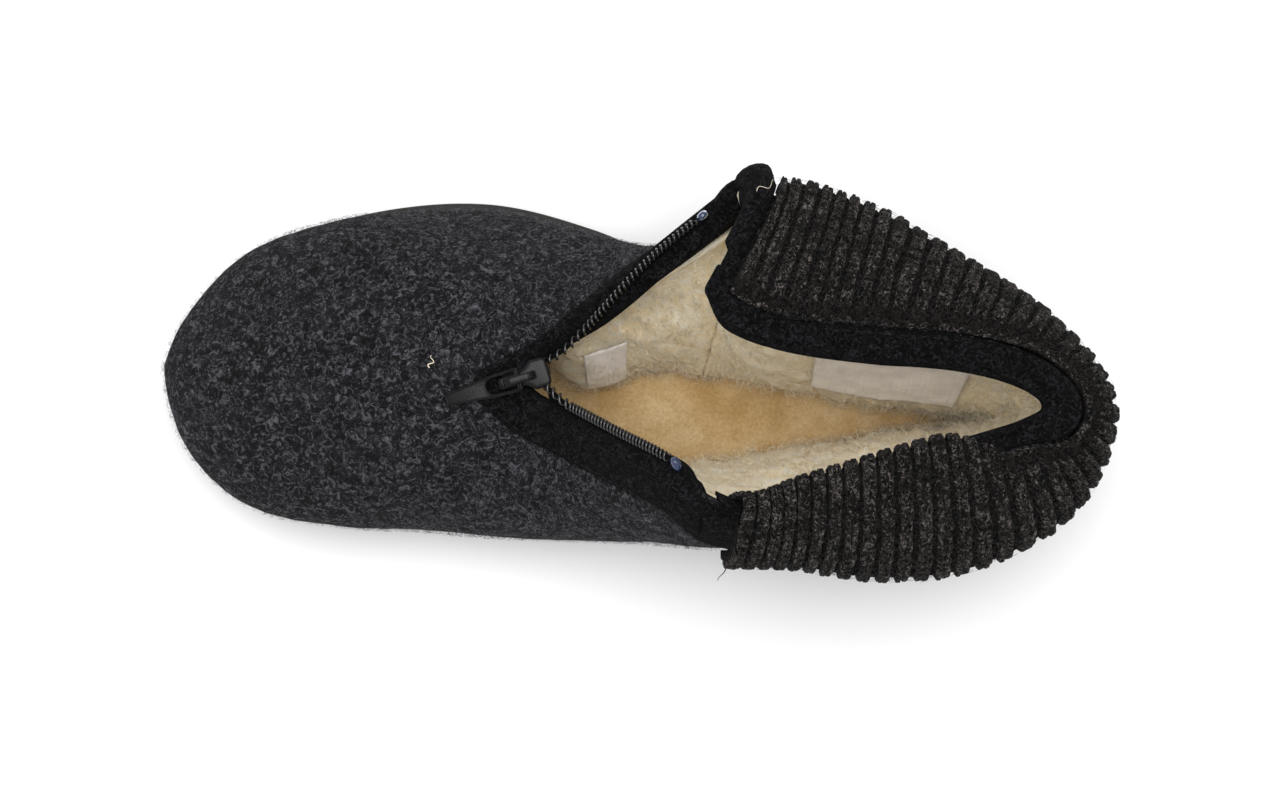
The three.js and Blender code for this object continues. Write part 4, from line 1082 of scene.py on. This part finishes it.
edge_low = np.maximum(edge_low, smooth_step(ROLL_START, ROLL_START + 0.1, starts[:, 0]))
starts[:, 2] *= edge_low
ends[:, 2] *= edge_low
yarn_grains("cuff_v_stitches", starts, ends, 0.85 + 0.15 * jitter[1], 1.16 + 0.12 * jitter[2])

# Purl bars lie across the valleys, one for each row, in the darker yarn that paints the valleys' shade
rib, row = (grid.ravel() for grid in np.meshgrid(np.arange(1, RIB_COUNT), rows + STITCH_PITCH / 2, indexing="ij"))
jitter = rng.normal(size=(2, len(rib)))
starts = cuff_rows((rib - 0.2) / RIB_COUNT, row + 0.2 * jitter[0], 3.2)
ends = cuff_rows((rib + 0.2) / RIB_COUNT, row + 0.4 + 0.2 * jitter[1], 3.2)
yarn_grains("cuff_purl_bars", starts, ends, np.full(len(rib), 0.3), np.ones(len(rib)), 5, valley_shade_yarn)

# On the inner side the knit rolls over the edge as far as the lining: a soft ground with its own stitches.
# down and out of the roll's middle line, from the cuff up over the binding and down inside
ROLL = np.array([(1.5, 3.4), (-1.2, 4.0), (-4.6, 3.9), (-6.6, 2.2), (-7.2, -0.6), (-7.0, -3.6), (-5.6, -6.2),
                 (-2.6, -7.4)])
ROLL_FOOT = ROLL[0] + [0.0, -1.9]
ROLL_GROWTH = 0.13
roll_way = unit(np.gradient(ROLL, axis=0))
roll_out = np.stack([roll_way[:, 1], -roll_way[:, 0]], axis=1)


def on_roll(back, step, height):
    """Place on the rolled edge: step counts along ROLL's points, height stands off them."""
    back, step, height = spread(back, step, height)
    line, off = (np.stack([np.interp(step, np.arange(len(ROLL)), table[:, k]) for k in range(2)], axis=-1)
                 for table in (ROLL, roll_out))
    size = smooth_step(ROLL_START, ROLL_START + ROLL_GROWTH, back)[..., None]
    spot = ROLL_FOOT + (line + off * height[..., None] - ROLL_FOOT) * size
    return on_cuff(back, spot[..., 0], spot[..., 1])


roll_back = np.linspace(ROLL_START, ROLL_END, 150)[:, None]
roll_steps = np.linspace(0, len(ROLL) - 1, 30)[None]
roll_top = on_roll(roll_back, roll_steps, 0.1 + 0.8 * rib_wave(roll_back))
roll_under = on_roll(roll_back, roll_steps, -0.9)
# The rolled ground is in the darker yarn too, painted shade between its stitches
add_tube("cuff_rolled_ground", np.concatenate([roll_top, roll_under[:, ::-1]], axis=1), valley_shade_yarn)

roll_ribs, roll_rows = np.arange(int(ROLL_START * RIB_COUNT) + 3, RIB_COUNT), np.arange(0.1, len(ROLL) - 1.6, 0.95)
rib, row, leg = (grid.ravel()[:, None] for grid in np.meshgrid(roll_ribs, roll_rows, [-1, 1], indexing="ij"))
grain = np.linspace(0, 1, 6)[None, :]
bow = np.sin(grain * math.pi)
grain_back = (rib + 0.5 + leg * STITCH_REACH * (1 - 0.8 * grain)) / RIB_COUNT
grain_line, above = (on_roll(grain_back, row + 1.45 * grain, height + 0.7 * bow) for height in (0.9, 1.9))
grain_up = above - grain_line
grain_up /= np.maximum(np.linalg.norm(grain_up, axis=-1, keepdims=True), 1e-6)
grain_side = unit(np.cross(np.gradient(grain_line, axis=1), grain_up))
grown_share = smooth_step(ROLL_START, ROLL_START + ROLL_GROWTH, grain_back)
thick = 1.05 * (0.5 + 0.5 * bow) * (0.3 + 0.7 * grown_share)
grain_rings = around(grain_line, grain_side, grain_up, thick, YARN_SIDES)
add_piece("cuff_rolled_stitches", grain_rings.reshape(-1, 3), grain_faces(len(rib), 6, YARN_SIDES), yarn)

# Cast-off chain along the hem, and the seam's chain under the binding
step = np.arange(RIB_COUNT * 2 - 1)
for name, down, height in (("cuff_hem_chain", CUFF_DEPTH - 0.9, 3.0), ("cuff_seam_chain", 0.7, 2.4)):
    starts = cuff_rows((step + 0.1) / (RIB_COUNT * 2), down - 0.4, height)
    ends = cuff_rows(np.minimum((step + 1.4) / (RIB_COUNT * 2), 0.999), down + 0.4, height)
    yarn_grains(name, starts, ends, np.full(len(step), 0.5), np.full(len(step), 1.1), 5)

# Loose wool on the knit: short grey and black hairs that soften its outline
CUFF_HAIRS = 3800
hair_back = rng.uniform(0.005, 0.995, CUFF_HAIRS)
hair_down = rng.uniform(0.8, CUFF_DEPTH - 0.8, CUFF_HAIRS)
hair_out = KNIT_THICKNESS - 1.2 + 1.3 * rib_wave(hair_back)
roots = on_cuff(hair_back, hair_down, hair_out)
away = on_cuff(hair_back, hair_down, hair_out + 1) - roots
lengths, lift = rng.uniform(1.2, 4.2, CUFF_HAIRS), rng.uniform(0.4, 1.5, CUFF_HAIRS)
grey_fibre = Finish("loose grey wool fibre", Base_Color=srgb("403e3e"), Roughness=0.75, IOR=1.5,
                    Specular_IOR_Level=0.2)
add_piece("cuff_loose_fibres", *strands(roots, away, lengths, 0.055, lift, 2.2, rng), grey_fibre)

# Zip: a number 5 nylon coil on black woven tape, sewn under the facing on each side of the throat.
# The coils turn at 1.5 mm and end in clear moulded top stops; below the slider they are joined.
CHAIN_WIDTH = 3.2
CHAIN_THICKNESS = 2.4
CHAIN_GAP = 0.5
COIL_TOP = 0.9
COIL_PITCH = 1.5
PORT_REACH = 14
SLIDER_HEEL = 9
SEAT_GAP = 0.9
WIRE = 0.4
CORD_SHARE = 0.34
TAPE_THICKNESS = 0.45
STOP_LENGTH = 3.4

throat_up = vamp.normal(0.5, 0.97)
aim = np.array([-0.96, -0.28, 0.0])
slider_ahead = unit(aim - throat_up * (aim @ throat_up))
slider_side = np.cross(throat_up, slider_ahead)
slider_seat = vamp.at(0.5, 1.0) + throat_up * (FELT_GAP + FACING_FELT + SEAT_GAP) - slider_side


def framed(origin, ahead, up):
    """A function for places ahead, aside and up of an origin; aside is always across the slider."""
    def at(x, y, z):
        x, y, z = spread(x, y, z)
        return origin + x[..., None] * ahead + y[..., None] * slider_side + z[..., None] * up
    return at


on_slider = framed(slider_seat, slider_ahead, throat_up)

nylon = Finish("black nylon monofilament", Base_Color=srgb("0c0c0e"), Roughness=0.26, IOR=1.53, Coat_Weight=0.6,
               Coat_Roughness=0.15)
tape_cloth = Finish("black woven polyester tape", Base_Color=srgb("060607"), Roughness=0.9, IOR=1.5,
                    Specular_IOR_Level=0.1)
weave = tape_cloth.node("ShaderNodeTexWave", {"wave_type": "BANDS", "bands_direction": "DIAGONAL"},
                        Vector=tape_cloth.place(), Scale=1 / (3.2 * MM), Distortion=0.6)
tape_cloth.bump(weave.outputs["Fac"], 0.15, 0.7)
# Clear acetal for the top stops; the blue in its colour is a painted highlight, the bluish gleam on the clear stops
clear_stop_blue_highlight = Finish("clear acetal with painted blue highlight", Base_Color=srgb("33466e"), Roughness=0.18, IOR=1.49,
                       Transmission_Weight=0.55, Coat_Weight=0.4, Coat_Roughness=0.08)


def flattened(wave, power):
    """A wave with broader tops, which turns a round section into a squarer one."""
    return np.sign(wave) * np.abs(wave) ** power


def zip_half(side, surface, start, end, sign):
    """Coil, tape and top stop of one side, from the slider's shoulder up to the stop."""
    port = on_slider(-SLIDER_HEEL - 3.1, sign * 2.4, -1.6)
    shoulder = on_slider(-6.2, sign * 2.7, -1.5)
    fine = np.linspace(start, end, 600)
    lengths = run_of(surface.at(fine, 1.0))
    turns = np.interp(np.linspace(0, lengths[-1], 400), lengths, fine)
    near = -FELT_GAP - FACING_FELT - CHAIN_GAP
    far = near - CHAIN_WIDTH
    high, low = COIL_TOP, COIL_TOP - CHAIN_THICKNESS

    def turn_at(share):
        return np.interp(share, np.linspace(0, 1, 400), turns)

    def frame_at(share):
        """Middle, half width and half height of the chain, drawn towards the slider's port."""
        places = ((near, high), (far, high), (far, low), (near, low))
        corners = [surface.by_edge(turn_at(share), down, out) for down, out in places]
        middle = sum(corners) / 4
        blend = 1 - smooth_step(0, PORT_REACH, np.linalg.norm(middle - port, axis=-1))
        middle = middle + (port - middle) * blend[..., None]
        return middle, (corners[1] - corners[0]) / 2, (corners[0] - corners[3]) / 2

    chain_start = frame_at(np.array([0.0]))[0][0]

    def chain_at(share):
        """The same, where the last few millimetres run in under the slider's shoulder."""
        middle, wide, tall = frame_at(share)
        lead = (1 - smooth_step(0, 0.16, share))[..., None]
        return middle * (1 - lead) + (shoulder + (middle - chain_start) * 0.55) * lead, wide, tall

    stop_share = 1 - STOP_LENGTH / lengths[-1]
    count = int(lengths[-1] * stop_share / COIL_PITCH)
    angle = np.linspace(0, count * 2 * math.pi, count * 12)
    middle, wide, tall = chain_at(np.linspace(0.0, stop_share - 0.012, count * 12))
    sideways = flattened(np.cos(angle), 0.75) * (1 - WIRE / (CHAIN_WIDTH / 2))
    upwards = np.sin(angle) * (1 - WIRE / (CHAIN_THICKNESS / 2))
    path = middle + wide * sideways[:, None] + tall * upwards[:, None]
    way = unit(np.gradient(path, axis=0))
    first = unit(np.cross(way, np.cross(wide, tall)))
    add_tube(f"zip_coil_{side}", around(path, first, np.cross(way, first), WIRE, 6), nylon,
             stands_for=[f"zip_chain_{side}"], finish_slot="zip coil")

    # Coil's core cord and the tape that carries it
    middle, wide, tall = chain_at(np.linspace(0.0, stop_share, 120))
    add_tube(f"zip_core_{side}", around(middle, wide, tall, CORD_SHARE, 8), tape_cloth)
    share = np.linspace(0.0, 1.0, 140)
    middle, wide, tall = chain_at(share)
    inner = surface.by_edge(turn_at(share), -0.2, -1.1)
    outer = middle - wide * 0.8 - tall
    thick = unit(tall) * TAPE_THICKNESS
    tape = [inner, (inner + outer) / 2, outer, outer - thick, (inner + outer) / 2 - thick, inner - thick]
    add_tube(f"zip_tape_{side}", np.stack(tape, axis=1), tape_cloth)

    middle, wide, tall = chain_at(np.linspace(stop_share + 0.004, 1.0, 9))
    bulge = 0.98 * np.sin(np.linspace(0.28, math.pi - 0.28, 9))[:, None, None] ** 0.45
    corner = np.arange(12)[:, None] * math.pi / 6
    box = wide[:, None] * flattened(np.cos(corner), 0.5) + tall[:, None] * flattened(np.sin(corner), 0.5)
    add_tube(f"zip_top_stop_{side}", middle[:, None] + bulge * box, clear_stop_blue_highlight,
             stands_for=[f"zip_stop_{side}"], finish_slot="zip stop")


zip_half("lateral", vamp, 0.365, 0.222, -1)
zip_half("medial", collar, -0.343, -0.226, 1)

# Slider: die-cast zinc under black lacquer. A plate with a nose and two shoulders, a lower body
# between the coils, and a crown that the pull's eye hangs on.
SLIDER_WIDTH = 8.6
SLIDER_NOSE = 4
SLIDER_NOSE_REACH = 6.2
SLIDER_PLATE = 1.6
SLIDER_BODY = 4
CROWN_WIDTH = 2.4
SOFT_EDGE = [(-0.9, 0), (-0.35, 0.02), (-0.08, 0.22), (0, 0.5), (0, 0.95), (-0.1, 1.3), (-0.35, 1.52),
             (-0.8, 1.66), (-1.3, 1.72)]

lacquer = Finish("black lacquer on zinc", Roughness=0.36, IOR=1.5, Specular_IOR_Level=0.14, Coat_Weight=0.1,
                 Coat_Roughness=0.2)
worn = lacquer.noise(0.8, detail=4, roughness=0.7)
lacquer.paint(lacquer.ramp(worn, (0.45, "070708"), (0.72, "1a1a1c")))
lacquer.bump(worn, 0.06, 0.5)


def rounded_outline(half, count=72, soften=3):
    """Closed outline from one side's corners, toe end first: mirrored, resampled and softened."""
    half = np.array(half, dtype=float)
    corners = np.concatenate([half, half[::-1] * [1, -1]])
    closed = np.concatenate([corners, corners[:1]])
    walk = run_of(closed)
    line = np.linspace(0, walk[-1], count, endpoint=False)
    points = np.stack([np.interp(line, walk, closed[:, k]) for k in range(2)], axis=1)
    for _ in range(soften):
        points = (np.roll(points, 1, axis=0) + 2 * points + np.roll(points, -1, axis=0)) / 4
    return points


def grown(points, distance):
    """The outline moved outwards by a distance."""
    way = np.roll(points, -1, axis=0) - np.roll(points, 1, axis=0)
    way = unit(way)
    turned = np.stack([way[:, 1], -way[:, 0]], axis=1)
    if np.sum(points * turned) < 0:
        turned = -turned
    return points + turned * distance


def cast(name, points, profile, **claims):
    """A cast piece: the outline at (growth, height) steps, closed flat at its bottom and top."""
    rings = [on_slider(*grown(points, growth).T, height) for growth, height in profile]
    add_tube(name, np.stack(rings), lacquer, **claims)


half_nose, half_wide = SLIDER_NOSE / 2, SLIDER_WIDTH / 2
plate_outline = rounded_outline([
    (SLIDER_NOSE_REACH, half_nose * 0.7), (SLIDER_NOSE_REACH - 1.2, half_nose), (0, half_nose),
    (-2.2, half_nose + 0.7), (-4, half_wide), (-SLIDER_HEEL + 1, half_wide), (-SLIDER_HEEL, half_wide - 1),
], count=120)
cast("zip_slider_plate", plate_outline, SOFT_EDGE, stands_for=["zip_slider"], finish_slot="zip slider and pull")
lower_outline = rounded_outline([(-5, 0.9), (-SLIDER_HEEL + 1, 1.5), (-SLIDER_HEEL, 1.2)], count=60)
cast("zip_slider_lower_body", lower_outline, [(-0.5, -SLIDER_BODY), (-0.1, -SLIDER_BODY + 0.3), (0, -3), (0, 0.3)])

crown_corners = np.array([(3.8, 1.4), (3.8, 3.6), (3.3, 4.55), (2.2, 4.95), (-2.8, 4.95), (-4.0, 4.55), (-4.6, 3.6),
                          (-4.6, 1.4)])
crown_walk = run_of(crown_corners)
crown_line = np.linspace(0, crown_walk[-1], 40)
crown_path = np.stack([np.interp(crown_line, crown_walk, crown_corners[:, k]) for k in range(2)], axis=1)
crown_way = unit(np.gradient(crown_path, axis=0))
corner = np.arange(16) * math.pi / 8
flat_x = flattened(np.cos(corner), 0.6) * CROWN_WIDTH / 2
flat_y = flattened(np.sin(corner), 0.6) * 0.6
crown_x = crown_path[:, :1] - crown_way[:, 1:] * flat_y
crown_z = crown_path[:, 1:] + crown_way[:, :1] * flat_y
add_tube("zip_slider_crown", on_slider(crown_x, flat_x, crown_z), lacquer)

# Pull: a long tapered tab of the same cast zinc. It has a raised rim and a sunk, stippled panel,
# and its open eye turns on the crown. It swings with the CAD's pull.
PULL_LENGTH = 22.6
PULL_WIDTH = 7
PULL_HOLE = 4.8
PULL_THICKNESS = 1.3
PULL_STEPS = 160
PULL_MIDDLE = 5.2
PANEL_FLOOR = 0.40
BEAD_HEIGHT = 0.33
REST_SLOPE = math.radians(10.378)
PIVOT_UP = SLIDER_PLATE + PULL_THICKNESS * 0.75

pull_ahead = slider_ahead * math.cos(REST_SLOPE) - throat_up * math.sin(REST_SLOPE)
pull_up = throat_up * math.cos(REST_SLOPE) + slider_ahead * math.sin(REST_SLOPE)
on_pull = framed(on_slider(0, 0, PIVOT_UP), pull_ahead, pull_up)

stippled = Finish("stippled black lacquer", Base_Color=srgb("131315"), Roughness=0.45, IOR=1.5,
                  Specular_IOR_Level=0.2, Coat_Weight=0.08, Coat_Roughness=0.3)
stipple = stippled.node("ShaderNodeTexVoronoi", {"feature": "F1"}, Vector=stippled.place(), Scale=1 / (0.5 * MM))
stippled.bump(stipple.outputs["Distance"], 0.18)


def paired_loop(half):
    """A rounded outline in order of direction from the tab's middle, so two loops pair up."""
    points = rounded_outline(half, count=PULL_STEPS)
    turn = np.mod(np.arctan2(points[:, 1], points[:, 0] - PULL_MIDDLE), 2 * math.pi)
    return points[np.argsort(turn)]


def loop_faces(count, sides):
    """Quads of a tube that closes on itself after count places."""
    i, j = np.meshgrid(np.arange(count), np.arange(sides), indexing="ij")
    after, beside = (i + 1) % count * sides, (j + 1) % sides
    return np.stack([i * sides + j, i * sides + beside, after + beside, after + j], axis=-1).reshape(-1, 4)


outer_loop = paired_loop([(PULL_LENGTH, 1.1), (PULL_LENGTH - 0.7, 1.75), (11.4, 2.85), (8, 3.3), (0, PULL_WIDTH / 2),
                          (-0.65, PULL_WIDTH / 2 - 0.5)])
eye_loop = paired_loop([(9.8, 0.9), (9.2, 1.8), (7.8, PULL_HOLE / 2), (0.65, PULL_HOLE / 2)])
half_thick = PULL_THICKNESS / 2
ring_profile = [
    (outer_loop, -0.3, PANEL_FLOOR), (outer_loop, 0, 0.2), (outer_loop, 0, -half_thick + 0.3),
    (outer_loop, -0.3, -half_thick), (eye_loop, 0.25, -half_thick), (eye_loop, 0, -half_thick + 0.25),
    (eye_loop, 0, 0.2), (eye_loop, 0.25, PANEL_FLOOR),
]
layers = np.stack([on_pull(*grown(loop, growth).T, height) for loop, growth, height in ring_profile], axis=1)
add_piece("zip_pull_tab", layers.reshape(-1, 3), loop_faces(PULL_STEPS, 8), stippled, body="pull",
          stands_for=["zip_pull"], finish_slot="zip slider and pull")


def bead(name, loop, growth, radius):
    """A raised half-round rim of the tab that follows a loop."""
    angles = np.arange(8) * math.pi / 4
    rings = np.stack([on_pull(*grown(loop, growth + radius * math.cos(a)).T, BEAD_HEIGHT + radius * math.sin(a))
                      for a in angles], axis=1)
    add_piece(name, rings.reshape(-1, 3), loop_faces(PULL_STEPS, 8)[:, [0, 3, 2, 1]], lacquer, body="pull")


bead("zip_pull_outer_rim", outer_loop, -0.32, 0.32)
bead("zip_pull_eye_rim", eye_loop, 0.3, 0.3)

# Loose fibres of the felt: hairs that stand off the blocked felt, undyed grey ones over dark
# ones. They lie in swirls, a few millimetres long, and soften the slipper's outline.
FIBRE_LENGTH = 2.6
rng = np.random.default_rng(83)


def felt_fibres(name, count_vamp, count_collar, code, radius):
    parts = []
    for surface, low, high, count in ((vamp, COLLAR_FRONT + 0.004, 0.5, count_vamp),
                                      (collar, -0.5, -0.2, count_collar)):
        turn = rng.uniform(low, high, count)
        t = rng.uniform(0, 1, count) ** 1.1
        limit = surface.share(np.round(turn, 3), facing_width(np.round(turn, 3)) + 1.5)
        t = 0.01 + t * (limit - 0.01)
        lengths = rng.uniform(0.25, 1, count) ** 1.4 * FIBRE_LENGTH
        lift = rng.uniform(0.25, 1.1, count)
        roots = surface.out(turn, t, 0.05)
        parts.append(strands(roots, surface.normal(turn, t), lengths, radius, lift, 2.0, rng, steps=4))
    finish = Finish(name.replace("_", " "), Base_Color=srgb(code), Roughness=0.8, IOR=1.5, Specular_IOR_Level=0.2)
    add_piece(name, *joined(parts), finish)


felt_fibres("undyed_felt_fibres", 3100, 3700, "6e6e74", 0.045)
felt_fibres("dark_felt_fibres", 1100, 1400, "141416", 0.055)

# Woven label and care tag: white satin ribbon, cut with heat and left plain. The wide label lies
# flat on the lining of the outer side, and the small tag lies flat on it nearer the slider.
satin = Finish("white satin ribbon", Roughness=0.55, IOR=1.5, Sheen_Weight=0.3)
satin.paint(satin.ramp(satin.noise(7, detail=3), (0.35, "d6cfca"), (0.65, "ece6e1")))
ribs = satin.node("ShaderNodeTexWave", {"wave_type": "BANDS", "bands_direction": "X"}, Vector=satin.place(),
                  Scale=1 / (5.0 * MM), Distortion=0.4)
satin.bump(ribs.outputs["Fac"], 0.1, 0.6)
RIBBON_THICKNESS = 0.35


def ribbon(name, surface, turns, shares, top_down, clear):
    """A thin closed ribbon that lies on the pile, over a range of turns and shares."""
    turn, share = np.meshgrid(turns, shares, indexing="ij")
    grid = pile(surface, turn, share, top_down(turn), clear, rough=0.25)
    lift = unit(np.cross(np.gradient(grid, axis=1), np.gradient(grid, axis=0))) * RIBBON_THICKNESS / 2
    add_tube(name, np.concatenate([grid + lift, (grid - lift)[:, ::-1]], axis=1), satin)


ribbon("plain_woven_label", collar, np.linspace(0.142, 0.064, 30), np.linspace(0.9, 0.3, 24), collar_top_down, 1.7)
ribbon("plain_care_tag", vamp, np.linspace(0.332, 0.288, 18), np.linspace(0.5, 0.08, 18), vamp_top_down, 1.9)

# Loose ends: a cut end of black thread by the cuff's front, and small curls of undyed wool lint
# that have settled on the felt and on the edge of the binding.


def curl(name, start, ahead, up, length, radius, turns, swing, finish):
    """One curled fibre as a closed tapered tube."""
    s = np.linspace(0, 1, 26)[:, None]
    wave = s * turns * 2 * math.pi
    path = (start + np.array(ahead) * s * length + np.cross(up, ahead) * swing * np.sin(wave)
            + up * (0.4 + swing * 0.5 * (1 - np.cos(wave)) * s))
    way = unit(np.gradient(path, axis=0))
    first = unit(np.cross(way, up))
    add_tube(name, around(path, first, np.cross(way, first), radius * (1 - 0.6 * s[:, 0]), 5), finish)


lint_share = float(vamp.share(0.497, 27.0))
curl("wool_lint_on_vamp", vamp.out(0.497, lint_share, 0.2), (0.3, 0.95, 0.0), vamp.normal(0.497, lint_share),
     3.6, 0.16, 1.4, 0.7, wool_fibre)
curl("wool_lint_on_flap", by_front(0.82, -1.5, FLAP_GAP + BINDING_FELT), (0.8, 0.4, 0.45), UP,
     6.0, 0.08, 1.2, 0.9, wool_fibre)
curl("cut_thread_end", on_cuff(0.994, 40.0, 4.5), (-0.35, -0.9, -0.2), UP, 5.5, 0.2, 0.8, 0.5, thread)
